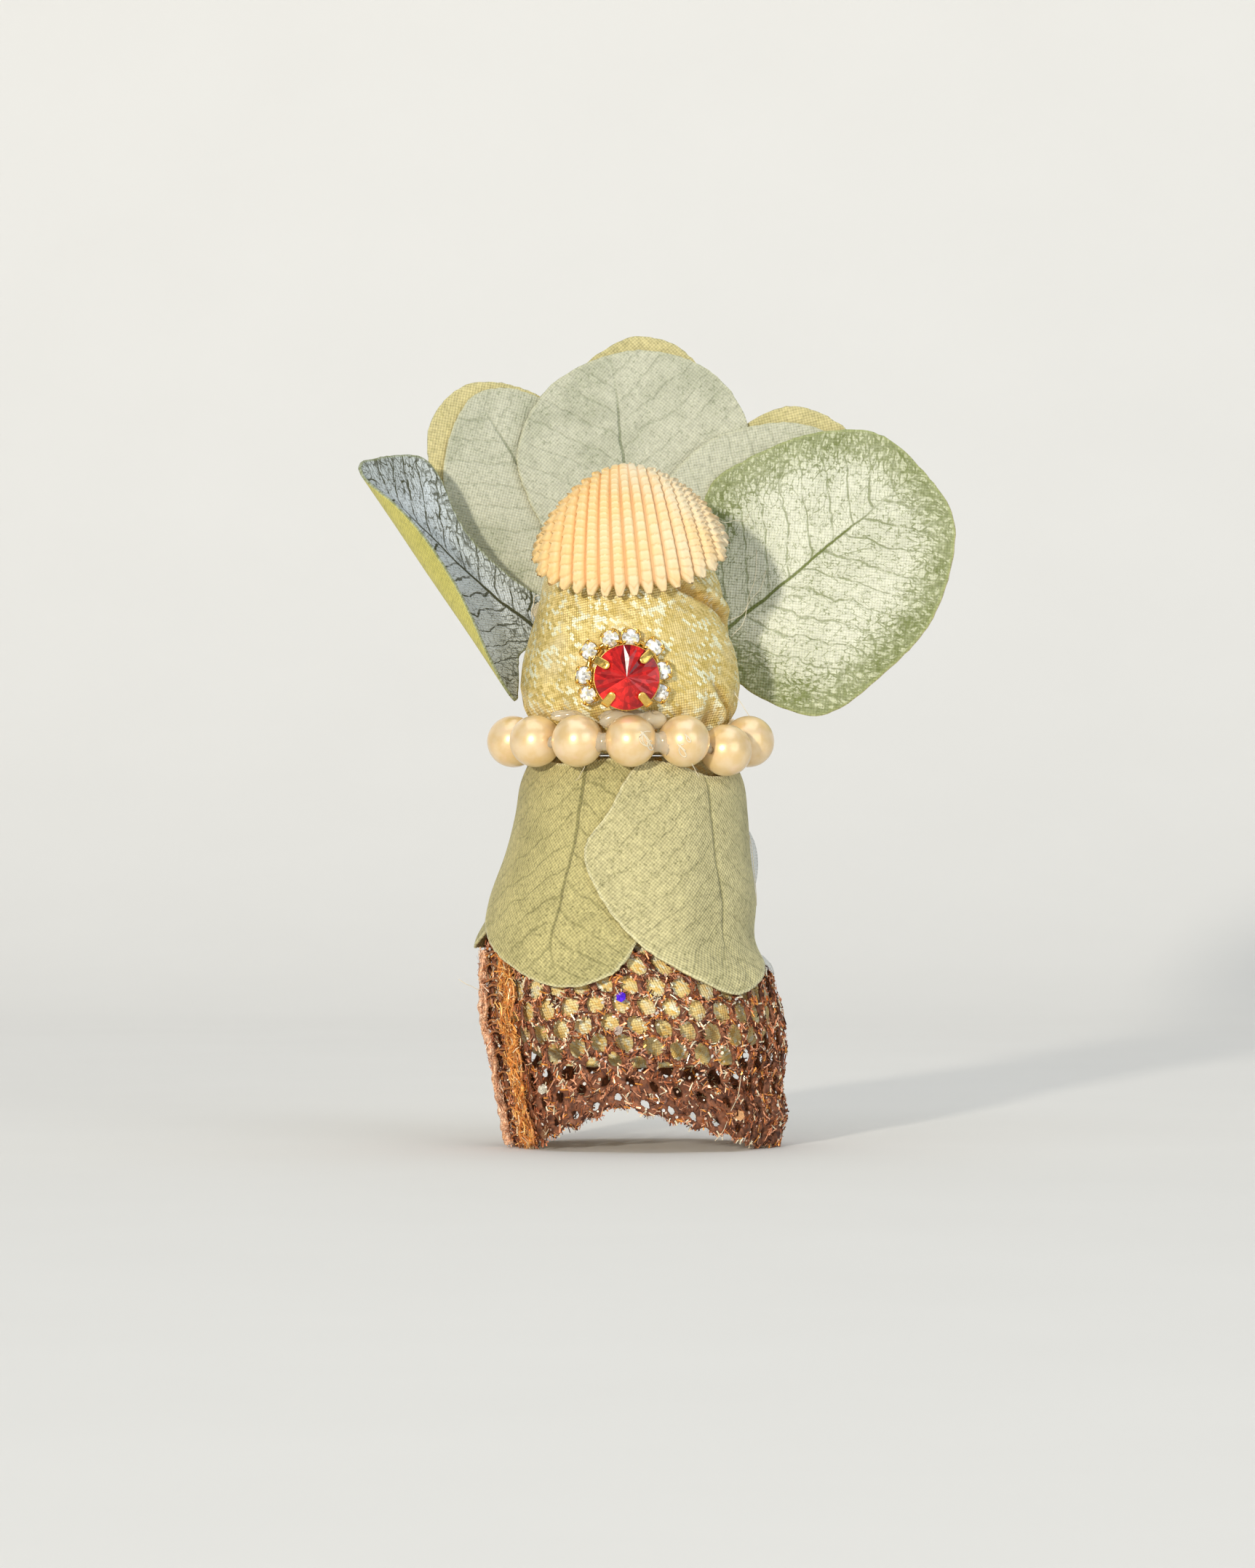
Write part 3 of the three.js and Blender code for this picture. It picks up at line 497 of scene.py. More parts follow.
class Paint:
    """One material, built node by node around its shader."""

    def __init__(self, name, **sockets):
        self.material = bpy.data.materials.new(name)
        self.material.use_nodes = True
        self.tree = self.material.node_tree
        self.shader = self.tree.nodes["Principled BSDF"]
        self.set(**sockets)

    def set(self, **sockets):
        for key, value in sockets.items():
            self.feed(self.shader.inputs[key.replace("_", " ").title().replace("Ior", "IOR")], value)

    def feed(self, socket, value):
        if isinstance(value, Wire):
            self.tree.links.new(value.socket, socket)
        elif socket.type == "RGBA":
            socket.default_value = (*value, 1)
        else:
            socket.default_value = value

    def node(self, kind, inputs=(), output=0, **settings):
        """Output of a new node; its inputs come in order, or by name or number."""
        node = self.tree.nodes.new("ShaderNode" + kind)
        for key, value in settings.items():
            setattr(node, key, value)
        for key, value in inputs.items() if isinstance(inputs, dict) else enumerate(inputs):
            self.feed(node.inputs[key], value)
        return Wire(self, node.outputs[output])

    def math(self, operation, *values):
        return self.node("Math", values, operation=operation)

    def vector(self, operation, *values):
        return self.node("VectorMath", values, operation=operation)

    def scaled(self, vector, scale):
        return self.node("VectorMath", {0: vector, "Scale": scale}, operation="SCALE")

    def mix(self, factor, a, b):
        return self.node("Mix", {0: factor, 6: a, 7: b}, 2, data_type="RGBA")

    def noise(self, vector, scale, detail=2.0, rough=0.5):
        inputs = {"Vector": vector, "Scale": scale, "Detail": detail, "Roughness": rough}
        return self.node("TexNoise", inputs)

    def voronoi(self, vector, scale, feature, output):
        return self.node("TexVoronoi", {"Vector": vector, "Scale": scale}, output, feature=feature)

    def split(self, vector):
        first = self.node("SeparateXYZ", [vector])
        return [Wire(self, socket) for socket in first.socket.node.outputs]

    def join(self, x, y, z):
        return self.node("CombineXYZ", (x, y, z))

    def uv(self):
        return self.node("UVMap", uv_map="UVMap")

    def place(self):
        """Position on the piece in millimetres."""
        return self.scaled(self.node("TexCoord", output="Object"), 1 / MM)

    def painted(self):
        return self.node("Attribute", output="Color", attribute_name="paint")

    def bump(self, height, depth, **normal):
        self.set(normal=self.node("Bump", {"Height": height, "Distance": depth * MM, **normal}))

    def weave(self, u, v, pitch):
        """Over and under of a plain weave, from -1 to 1."""
        return self.math("SINE", u * (TURN / pitch)) * self.math("SINE", v * (TURN / pitch))


def leaf_paint(name, pale, dark, rim, vein, side, mesh, speck, spread, pitch, cloth, cloud):
    """Printed cloth leaf: midrib, side veins, a network that thickens to the rim, specks, and the weave."""
    p = Paint(name, roughness=0.75, specular_ior_level=0.2, sheen_weight=0.1, sheen_roughness=0.5)
    along, across, _ = p.split(p.uv())
    inside, seed, _ = p.split(p.painted())
    layer = seed * 90.0
    spot = p.join(along, across, layer)
    sway = p.noise(spot, 0.2, 3.0) - 0.5
    bent = abs(across + sway * 1.1)
    half = along.step(-4.0, 36.0, 0.2, 0.03)
    rib = (bent - half).step(0.0, 0.22, 1.0, 0.0)
    rib = rib * along.step(-6.0, -3.0) * along.step(34.0, 24.0, 0.25, 1.0)

    which = p.math("SIGN", across) * 0.27
    reach = along - bent * 0.66 + sway * 4.0
    phase = p.math("FRACT", reach / pitch + which)
    gap = abs(phase - 0.5) * pitch
    line = (gap - bent.step(1.0, 14.0, 0.17, 0.07)).step(-0.04, 0.14, 1.0, 0.0)
    line = line * p.noise(spot, 0.9).step(0.3, 0.5, 0.35, 1.0)

    near = inside.step(0.0, 0.42, 1.0, 0.0)
    reflection_patch = p.noise(spot, 0.11, 3.0) - 0.5
    level = near * spread + reflection_patch * 0.8
    warped = p.join(reach, bent * 0.62, layer + which)
    cell = p.voronoi(warped, 1.0, "DISTANCE_TO_EDGE", "Distance")
    web = (cell - level.step(-0.1, 0.75, 0.01, 0.13)).step(-0.03, 0.05, 1.0, 0.0)
    web = web * p.math("MAXIMUM", p.noise(spot, 1.3, 3.0).step(0.34, 0.56, 0.1, 1.0), near * 0.8)
    dots = (p.noise(spot, 2.0, 3.0, 0.65) + level * 0.1).step(0.56, 0.66)

    ink = rib * vein
    for mark in (line * side, web * mesh, dots * speck):
        ink = p.math("MAXIMUM", ink, mark)
    cloudy = p.noise(spot, 0.12, 4.0, 0.6).step(0.4, 0.66) * cloud
    ink = p.math("MINIMUM", ink + cloudy, 1.0)

    thread = p.weave(along, across, 0.62)
    colour = p.mix(ink, p.mix(near * (spread * 0.5), pale, rim), dark)
    colour = p.mix(inside.step(0.0, 0.03, 0.75, 0.0), colour, rim)
    fuzz = p.noise(spot, 1.5, 2.0, 0.6) - 0.5
    p.set(base_color=p.scaled(colour, thread * cloth + 1.0 + fuzz * (cloth * 4.0)))
    p.bump(thread * 0.5 + rib * -1.2 + line * -0.5, 0.1)
    return p.material


def lame_paint(name, deep, bright, pale, metal):
    """Woven metal cloth: slanting rows of short floats, each catching the light at its own angle, with
    painted glints, painted sheen and painted crease shade in its colour.
    """
    p = Paint(name, metallic=metal, specular_ior_level=0.2, specular_tint=(1.0, 0.78, 0.36))
    uv = p.uv()
    u, v, _ = p.split(uv)
    run = u * 0.82 - v * 0.57
    over = u * 0.57 + v * 0.82
    thread = p.weave(run, over, 0.56)
    row = p.math("FLOOR", over / 0.42)
    slide = p.math("FRACT", row * 0.618)
    place = p.math("FLOOR", run / 0.8 + slide)
    grain = p.node("TexWhiteNoise", {"Vector": p.join(place, row, 0.0)}, "Color", noise_dimensions="2D")
    tone, spark, _ = p.split(grain)
    colour = p.mix(tone, deep, bright)
    # Painted sheen: broad patches mixed toward the pale colour stand in for the cloth catching the light
    colour = p.mix(p.noise(uv, 0.13, 3.0).step(0.5, 0.72) * 0.45, colour, pale)
    # Painted highlights: a few floats, gathered in patches, are mixed to near white as glints
    glint = spark.step(0.72, 0.76) * p.noise(uv, 0.2).step(0.36, 0.54)
    colour = p.mix(glint, colour, (1.0, 0.98, 0.7))
    # Painted shade: the paint attribute darkens creases and hollows toward brown; the body's paint is zero
    crease_shade = p.split(p.painted())[0]
    colour = p.mix(crease_shade, colour, (0.5, 0.27, 0.05))
    p.set(base_color=p.scaled(colour, thread * 0.16 + 1.0), roughness=spark.step(0.5, 0.86, 0.44, 0.24))
    tilt = p.scaled(p.vector("SUBTRACT", grain, (0.5, 0.5, 0.5)), 0.3)
    lean = p.vector("NORMALIZE", p.vector("ADD", p.node("NewGeometry", output="Normal"), tilt))
    p.bump(thread, 0.05, Normal=lean)
    return p.material


def pearl_paint():
    """Lacquer with a deep sheen under a hard gloss."""
    p = Paint("pearl_lacquer", metallic=0.32, coat_weight=0.6, coat_roughness=0.05, specular_ior_level=0.5)
    spot = p.place()
    colour = p.mix(p.noise(spot, 0.35, 3.0).step(0.35, 0.7), (0.86, 0.6, 0.28), (0.93, 0.71, 0.43))
    swirl = p.noise(spot, 0.5, 3.0, 0.6).step(0.5, 0.75)
    p.set(base_color=p.mix(swirl * 0.4, colour, (0.98, 0.68, 0.47)),
          roughness=p.noise(spot, 0.4).step(0.3, 0.7, 0.29, 0.36))
    return p.material


def glue_paint(name, clear):
    """Hot glue, milky in places."""
    p = Paint(name, transmission_weight=clear, ior=1.48, specular_ior_level=0.5)
    spot = p.place()
    milk = p.noise(spot, 0.8, 3.0).step(0.3, 0.75)
    p.set(base_color=p.mix(milk, (0.98, 0.84, 0.58), (0.98, 0.88, 0.68)),
          roughness=p.noise(spot, 0.7).step(0.2, 0.8, 0.08, 0.22))
    p.bump(p.noise(spot, 0.5), 0.08)
    return p.material


def stone_paint(name, gloss, **sockets):
    """Cut glass over foil: each facet carries a painted reflection tone, broken up by patches of painted
    reflection.
    """
    p = Paint(name, roughness=gloss, specular_ior_level=0.35, coat_weight=0.12, coat_roughness=0.02,
              **sockets)
    reflection_patch = p.split(p.voronoi(p.place(), 1.5, "F1", "Color"))[0]
    p.set(base_color=p.scaled(p.painted(), reflection_patch.step(0.1, 0.9, 0.76, 1.24)))
    return p.material


def gilt_paint():
    p = Paint("gilt", metallic=1.0)
    spot = p.place()
    wear = p.noise(spot, 1.4, 4.0, 0.6).step(0.4, 0.7)
    p.set(base_color=p.mix(wear, (0.95, 0.62, 0.16), (0.78, 0.47, 0.1)),
          roughness=p.noise(spot, 2.3).step(0.3, 0.7, 0.16, 0.34))
    p.bump(p.noise(spot, 2.0), 0.02)
    return p.material


def shell_paint():
    """Chalky ribs with orange between them, scored across by growth scales."""
    p = Paint("shell", roughness=0.6, specular_ior_level=0.35, subsurface_weight=0.06,
              subsurface_radius=(0.0012, 0.0007, 0.0004))
    ridge, scale, side = p.split(p.painted())
    spot = p.place()
    blotch = p.noise(spot, 0.16, 3.0).step(0.4, 0.68)
    cream = p.mix(side, (0.87, 0.61, 0.27), (0.84, 0.7, 0.46))
    cream = p.mix(blotch * 0.6, cream, (0.93, 0.6, 0.24))
    groove = p.mix(side, (0.74, 0.38, 0.14), (0.74, 0.5, 0.28))
    colour = p.mix(ridge.step(0.12, 0.6), groove, cream)
    mark = scale.step(0.55, 0.9) * ridge.step(0.2, 0.6)
    colour = p.mix(mark * 0.36, colour, (0.7, 0.38, 0.13))
    pale = scale.step(0.3, 0.02) * ridge.step(0.6, 0.95)
    colour = p.mix(pale * 0.25, colour, (0.98, 0.88, 0.66))
    fleck = p.noise(spot, 1.6, 3.0).step(0.66, 0.74)
    p.set(base_color=p.mix(fleck * 0.3, colour, (0.6, 0.48, 0.26)))
    p.bump(p.noise(spot, 1.5, 4.0, 0.6), 0.1)
    return p.material


def tinsel_paint(name, metal, gloss):
    """Metal thread whose colour changes from fibre to fibre."""
    p = Paint(name, metallic=metal)
    grain = p.noise(p.place(), 3.0)
    p.set(base_color=p.scaled(p.painted(), grain.step(0.2, 0.8, 0.7, 1.3)),
          roughness=grain.step(0.2, 0.8, gloss, gloss + 0.2))
    return p.material


def cloth_paint(name, pale, dark, pitch):
    p = Paint(name, roughness=0.85, specular_ior_level=0.2, sheen_weight=0.15)
    u, v, _ = p.split(p.uv())
    thread = p.weave(u, v, pitch)
    slub = p.noise(p.join(u * 0.3, v, 0.0), 1.2)
    p.set(base_color=p.mix(thread * 0.25 + slub * 0.6, pale, dark))
    p.bump(thread, 0.08)
    return p.material


GOLD = lame_paint("gold_lame", (0.59, 0.44, 0.13), (0.9, 0.71, 0.31), (0.89, 0.77, 0.5), 0.18)
# Brightened copy of the head's lamé: painted light that lifts the body's gold out of the shade of the net
LIT_BODY_GOLD = lame_paint("gold_lame_body_brightened", (0.9, 0.58, 0.16), (1.0, 0.85, 0.42), (1.0, 0.92, 0.62), 0.06)
PEARL = pearl_paint()
GLUE = glue_paint("hot_glue", 0.62)
GLUE_FILM = glue_paint("hot_glue_film", 0.2)
GILT = gilt_paint()
SHELL = shell_paint()
RED = stone_paint("red_glass", 0.07)
CLEAR = stone_paint("clear_glass", 0.04, metallic=0.35)
TINSEL = tinsel_paint("copper_tinsel", 0.45, 0.24)
CORE = tinsel_paint("net_core", 0.2, 0.5)
FOIL = tinsel_paint("sequin_foil", 0.6, 0.16)
FIBRE = tinsel_paint("selvage_fibre", 0.25, 0.45)
LINING = cloth_paint("white_cloth", (0.88, 0.86, 0.8), (0.74, 0.72, 0.66), 0.5)
THREAD = cloth_paint("thread", (0.86, 0.84, 0.78), (0.7, 0.68, 0.6), 0.3)

# Leaf prints: pale, dark and rim colour; strength of midrib, side veins, network and specks; spread of
# the network from the rim; pitch of the side veins; strength of the weave and of the clouds
LEAF = {name: leaf_paint(name, *values) for name, values in {
    "silver_leaf": ((0.74, 0.74, 0.6), (0.17, 0.2, 0.06), (0.4, 0.43, 0.18),
                    0.95, 0.6, 0.74, 0.66, 1.0, 4.2, 0.12, 0.2),
    "curl_leaf": ((0.69, 0.74, 0.77), (0.06, 0.062, 0.025), (0.3, 0.32, 0.14),
                  1.0, 0.9, 0.8, 0.6, 0.4, 3.6, 0.1, 0.2),
    "grey_leaf": ((0.56, 0.555, 0.43), (0.25, 0.27, 0.17), (0.56, 0.55, 0.38),
                  0.75, 0.3, 0.14, 0.5, 0.1, 4.2, 0.14, 0.35),
    "lime_leaf": ((0.62, 0.54, 0.27), (0.38, 0.35, 0.14), (0.56, 0.5, 0.25),
                  0.3, 0.12, 0.05, 0.4, 0.2, 4.2, 0.2, 0.3),
    "leaf_underside": ((0.62, 0.56, 0.15), (0.4, 0.38, 0.08), (0.55, 0.52, 0.17),
                       0.3, 0.15, 0.05, 0.35, 0.2, 4.2, 0.14, 0.3),
    "dress_leaf": ((0.53, 0.46, 0.2), (0.14, 0.13, 0.04), (0.74, 0.68, 0.4),
                   0.62, 0.4, 0.16, 0.5, 0.12, 4.2, 0.24, 0.22),
    "pale_dress_leaf": ((0.585, 0.52, 0.27), (0.18, 0.17, 0.065), (0.78, 0.72, 0.44),
                        0.56, 0.3, 0.14, 0.5, 0.12, 4.2, 0.24, 0.18),
}.items()}


def leaf(name, outline, surface, axis, prints, body, slot, wave=0.25, edge_count=150,
         rings=30):
    """Cloth leaf on a surface: its flat outline, its midrib from base to tip, the prints of its two faces."""
    seed = sum(ord(letter) for letter in name) % 17 / 17
    edge = smooth_loop(outline, edge_count)
    if signed_area(edge) < 0:
        edge = edge[::-1]
    centre = edge.mean(0)
    out = edge - centre
    reach = np.linalg.norm(out, axis=1)
    edge = edge + unit(out) * rng.normal(0, LEAF_FRAY, edge_count)[:, None]
    shares = 1 - (1 - (np.arange(rings) + 1) / rings) ** 1.15
    flat = (centre + shares[:, None, None] * (edge - centre)).reshape(-1, 2)
    flat = np.vstack([centre[None], flat])
    inside = np.concatenate([[reach.mean()], ((1 - shares)[:, None] * reach).ravel()])

    base, tip = np.array(axis, float)
    along = unit(tip - base)
    s = (flat - base) @ along
    t = (flat - base) @ np.array([-along[1], along[0]])
    u, v = flat.T
    across = surface(u + LEAF_STEP, v) - surface(u - LEAF_STEP, v)
    up = surface(u, v + LEAF_STEP) - surface(u, v - LEAF_STEP)
    normal = unit(np.cross(across, up))
    lift = wave * np.sin(s / 5.3 + 6 * seed) * np.sin(t / 6.1 + 9 * seed) * smoothstep(np.abs(t), 1, 9)
    lift = (lift - 0.12 * bump_at(t, 0, 0.7))[:, None]
    points = np.vstack([surface(u, v) + normal * (lift + half) for half in (LEAF_HALF, -LEAF_HALF)])

    count = len(flat)
    front = [(0, 1 + i, 1 + (i + 1) % edge_count) for i in range(edge_count)]
    front += [quad[::-1] for quad in ring_faces(rings, edge_count, start=1)]
    back = [tuple(count + i for i in face[::-1]) for face in front]
    rim = range(count - edge_count, count)
    border = [(count + i, count + j, j, i) for i, j in zip(rim, np.roll(rim, -1).tolist())]
    paint = np.zeros((2 * count, 3))
    paint[:, 0] = np.tile(np.clip(inside / LEAF_RIM_REACH, 0, 1), 2)
    paint[:, 1] = seed
    materials = [LEAF[print_name] for print_name in prints]
    piece = make(name + "_cloth", points, front + back + border, materials, slot, name, body,
                 uv=np.tile(np.stack([s, t], axis=-1), (2, 1)), paint=paint,
                 which=[0] * len(front) + [1] * (len(back) + edge_count))
    signed_area(edge) * MM * MM


def fan_leaves():
    """Seven leaves on one dished surface, from the front layer to the back one."""
    silver = ("silver_leaf", "lime_leaf")
    grey = ("grey_leaf", "lime_leaf")
    lime = ("lime_leaf", "grey_leaf")
    leaves = {
        "fan_right": (0, "fan_right_body", "grey_leaf", silver, [[15.5, -4.2], [44.1, 19.3]], [
            [9.8, -1.4], [10.7, 8.8], [13.4, 19.3], [19.8, 23.7], [30.4, 27.5], [39.6, 27.2], [46.1, 21.8],
            [51.5, 12.9], [48.2, -2.2], [40.2, -11.3], [30.6, -17.6], [20.5, -14.5], [13.3, -8.1],
        ]),
        "fan_right_mid": (1, "doll", "grey_leaf", grey, [[4, -3], [26, 29]], [
            [-2, -2.5], [1, 7.7], [5.1, 18], [12.3, 26], [19.7, 28.6], [27.4, 29], [33.2, 26.1], [34.7, 15.9],
            [28.6, 5.7], [17.4, -1.4], [6.1, -4],
        ]),
        "fan_centre": (2, "doll", "grey_leaf", grey, [[1.6, 5], [-2.6, 39]], [
            [-4.1, -2.5], [-9.7, 6.7], [-15.3, 15.9], [-17.7, 24.1], [-13.5, 34.1], [-5.3, 39.5], [3.6, 41],
            [13.1, 37.7], [18.8, 30.2], [18.9, 19], [12.3, 6.7], [5.1, -3],
        ]),
        "fan_left_mid": (3, "doll", "grey_leaf", grey, [[-6, 4], [-24.5, 34]], [
            [-1, -2.5], [-9.2, -2], [-19.4, 4.7], [-27.6, 13.9], [-29.4, 22], [-25.1, 33.2], [-18.4, 34.8],
            [-8.2, 29.2], [-3.1, 18], [0, 5.7],
        ]),
        "fan_right_back": (3, "doll", "lime_leaf", lime, [[8, -2], [29, 32]], [
            [4.1, -2.5], [5.1, 7.7], [10.2, 20], [18.4, 28.7], [26, 31.9], [32.2, 30], [35.7, 26.6],
            [34.2, 16.9], [25.5, 5.7], [13.3, -1.4],
        ]),
        "fan_left_back": (4, "doll", "lime_leaf", lime, [[-4, 0], [-28, 34]], [
            [-2.6, -1.4], [-12.3, 1.6], [-23.5, 9.8], [-30.6, 19], [-31.7, 28.7], [-26, 35.3], [-16.3, 34.8],
            [-8.2, 28.2], [-3.1, 16.9], [0, 5.7],
        ]),
        "fan_centre_back": (5, "fan_centre_back_body", "lime_leaf", lime, [[0, -2], [2, 43]], [
            [-2.6, -2], [-10.2, 11.8], [-12.8, 24.1], [-10.7, 34.3], [-5.1, 40.4], [1.6, 43.5], [8.7, 41.4],
            [13.8, 34.3], [14.8, 23.1], [11.2, 10.8], [3.6, -2],
        ]),
    }
    for name, (layer, body, slot, prints, axis, outline) in leaves.items():
        def surface(x, rise):
            y = FAN_DEPTH + FAN_LEAN * rise - FAN_DISH * x * x + layer * LEAF_PITCH
            return np.stack([x, y, FAN_HEIGHT + rise], axis=-1)

        leaf(name, outline, surface, axis, prints, body, slot)


def curled_leaf():
    """Left leaf, rolled about its length: its far half faces the front and its near edge turns over."""
    section = np.array([[2.9, -11], [0.4, -7], [0.5, -3.2], [3, 2.4], [5.8, 7], [9.8, 10.2], [14.6, 12.2]])
    ends = np.vstack([section[:1], section, section[-1:]])[:, None]
    t = np.linspace(0, 1, 30, endpoint=False)[None, :, None]
    p0, p1, p2, p3 = ends[:-3], ends[1:-2], ends[2:-1], ends[3:]
    fine = hermite(t, p1, p2, (p2 - p0) / 2, (p3 - p1) / 2).reshape(-1, 2)
    fine = np.vstack([fine, section[-1:]])
    lead = 2
    run = np.concatenate([[-lead], run_along(fine)])
    fine = np.vstack([fine[0] - lead * unit(fine[1] - fine[0]), fine])

    def surface(along, across):
        out, y = (np.interp(across - CURL_NEAR, run, column) for column in fine.T)
        x = CURL_ROOT[0] + along * math.cos(CURL_SLOPE) + out * math.sin(CURL_SLOPE)
        z = CURL_ROOT[1] + along * math.sin(CURL_SLOPE) - out * math.cos(CURL_SLOPE)
        return np.stack([x, y, z], axis=-1)

    outline = [
        [1.5, -1], [12, -6], [22, -8.6], [32, -8.6], [40, -5.5], [45.4, 0], [45.2, 6], [44.4, 10.8],
        [41.8, 15.8], [37, 16.4], [31, 15], [25, 15.2], [17, 17.5], [10, 20.6], [7.5, 17], [7, 9], [3, 3],
    ]
    leaf("fan_left", outline, surface, [[9, 15.5], [41, 2]], ("leaf_underside", "curl_leaf"), "fan_left_body",
         "grey_leaf", wave=0.1)


def dress_leaves():
    """Five leaves wrapped round the body.

    Each has its layer at the front and at the side, its body, and its midrib and outline as angle and height.
    """
    top = DRESS_TOP
    leaves = {
        "dress_left": (0, 0, "doll", [[-104, top], [-108, 30]], [
            [-64, top], [-104, top], [-144, top], [-152, 47], [-138, 36], [-114, 31.5], [-94, 30.9],
            [-88, 31.4], [-68, 37], [-62, 48],
        ]),
        "dress_right": (0, 0, "doll", [[104, top], [108, 30]], [
            [64, top], [104, top], [144, top], [152, 47], [138, 36], [112, 31], [88, 30.4], [68, 37],
            [62, 48],
        ]),
        "dress_front_left": (1, 1, "doll", [[-26, top], [-28, 29]], [
            [-82, top], [-90, 46], [-84, 38.5], [-59, 30.6], [-27, 25.4], [-6, 27.4], [9, 32.5], [15, 41],
            [12, 51], [2, top], [-40, top],
        ]),
        "dress_front_right": (2, 1, "dress_front_right_body", [[40, top], [52, 27]], [
            [4, top], [-12, 51.6], [-20, 46.8], [-10, 39.5], [10, 31.6], [25.5, 26.6], [43, 24.2], [64, 27.2],
            [80, 31], [86, 38], [88, 47], [84, top], [50, top - COLLAR_DIP - 0.6],
        ]),
        "dress_back": (1, 1, "dress_back_body", [[180, top], [180, 27]], [
            [134, top], [180, top], [226, top], [233, 46], [220, 33], [180, 26.4], [140, 33], [127, 46],
        ]),
    }

    def unrolled(points):
        return [[math.radians(degrees) * DRESS_FLAT_RADIUS, z] for degrees, z in points]

    for name, (layer, settle, body, axis, outline) in leaves.items():
        def surface(u, z):
            angle = u / DRESS_FLAT_RADIUS
            level = layer + (settle - layer) * smoothstep(angle, SETTLE_FROM, SETTLE_TO)
            flare = 1.3 * smoothstep(-z, -37, -31) * bump_at(np.degrees(angle), -92, 13)
            return on_girth(angle, z, level * LEAF_PITCH + DRESS_GAP + flare)

        front = "pale_dress_leaf" if name == "dress_front_right" else "dress_leaf"
        leaf(name, unrolled(outline), surface, unrolled(axis), (front, "lime_leaf"), body, "dress_leaf",
             wave=0.03, edge_count=170, rings=34)


def stuffed_head():
    """Thimble of gold cloth, drawn in under the collar, with a tucked fold on its right side."""
    rows, columns = 170, 300
    outline = even_spacing(np.vstack([[[HEAD[0, 0], 0.2]], HEAD[:-1], [[99.66, 2.2], [99.7, 0.05]]]), 60)
    outline = smooth(np.column_stack([np.linspace(0, 1, 60), outline]), np.linspace(0, 1, 400))
    outline = even_spacing(outline, rows)
    z, r = outline[:, :1], outline[:, 1:]
    angle = around_from_back(columns)
    side = np.degrees(angle)

    # Gathers under the collar, soft pulls and lumps, none of them under the stones
    plain = 1 - bump_at(side, 0, 34) * bump_at(z, 73, 9)
    gather = 0.5 * bump_at(z, 64.5, 5) * np.sin(19 * angle + 1.3 * np.sin(3 * angle))
    gather = gather + 0.2 * bump_at(z, 70, 6) * np.sin(11 * angle + 0.7)
    pull = 0.22 * np.sin((side + 2.2 * z) / 9.0) * bump_at(z, 80, 9)
    uneven = 0.25 * np.sin(2.3 * angle + z / 7) * np.sin(z / 4.1 + 2 * angle)

    # Tuck that runs back from under the shell, a second one low down, and a slit between them, with shade
    # painted into their hollows
    above = z - (87.4 - (side - 32.6) / 11)
    window = smoothstep(side, 22, 36) * smoothstep(-side, -104, -84)
    valley = window * bump_at(above, -0.3, 0.75)
    fold = window * (0.9 * bump_at(above, 1.3, 1.1) - 1.2 * valley - 0.5 * bump_at(above, -2.2, 1.6))
    second = np.radians(side - (52 + (72 - z) * 3.5)) * HEAD_WRAP
    low_window = smoothstep(z, 64, 67) * smoothstep(-z, -74, -70)
    hollow = low_window * bump_at(second, 0, 0.9)
    fold = fold + 0.7 * low_window * bump_at(second, -1.8, 1.1) - 0.9 * hollow
    slit = bump_at(side, 77, 3.0) * bump_at(z, 80.5, 2.0)

    wide = r + (plain * (gather + pull + uneven) + fold - 0.9 * slit) * smoothstep(r, 1, 8)
    # Painted shade: the tuck's valley, the low hollow, the slit and the troughs of the gathers go into the
    # paint, which darkens the lamé there
    dark = 0.75 * valley + 0.55 * hollow + 0.9 * slit
    dark = dark + 0.5 * bump_at(z, 64.5, 4) * smoothstep(-gather, 0.15, 0.4)
    points = round_points(DOLL_MIDDLE, wide, wide, angle, z).reshape(-1, 3)
    paint = np.repeat(np.clip(dark, 0, 0.85).reshape(-1, 1), 3, axis=1)
    piece = make("head_stuffed", points, capped(rows, columns), [GOLD], "gold_lame", "head",
                 uv=cloth_uv(angle, z, HEAD_WRAP), paint=paint, around=TURN * HEAD_WRAP)


def stuffed_body():
    """Gold cloth bag under the dress and the net, round at the bottom."""
    rows, columns = 110, 160
    bottom = BELLY[0, 0]
    z = np.linspace(bottom, BODY_TOP, rows)
    z[1:1 + len(BELLY_STEPS)] = bottom + np.array(BELLY_STEPS)
    z = np.sort(z)[:, None]
    angle = around_from_back(columns)
    low = smooth(BELLY, z)
    high = smooth(GIRTH, z)
    upper = smoothstep(z, WAIST - 3, WAIST)
    middle = low[..., 0] * (1 - upper) + high[..., 0] * upper
    half = np.maximum(low[..., 1], 0.2) * (1 - upper) + (high[..., 1] - WRAP_INSET) * upper
    crumple = 0.3 * np.sin(13 * angle + z / 2.1) * bump_at(z, 17, 4) + 0.25 * np.sin(5 * angle - z / 3.2)
    half = half + crumple * (1 - upper) * smoothstep(half, 3, 9)
    points = round_points(middle, half, half * DEPTH_RATIO, angle, z).reshape(-1, 3)
    piece = make("body_stuffed", points, capped(rows, columns), [LIT_BODY_GOLD], "gold_lame", "body",
                 uv=cloth_uv(angle, z, BODY_WRAP), paint=np.zeros((len(points), 3)), around=TURN * BODY_WRAP)


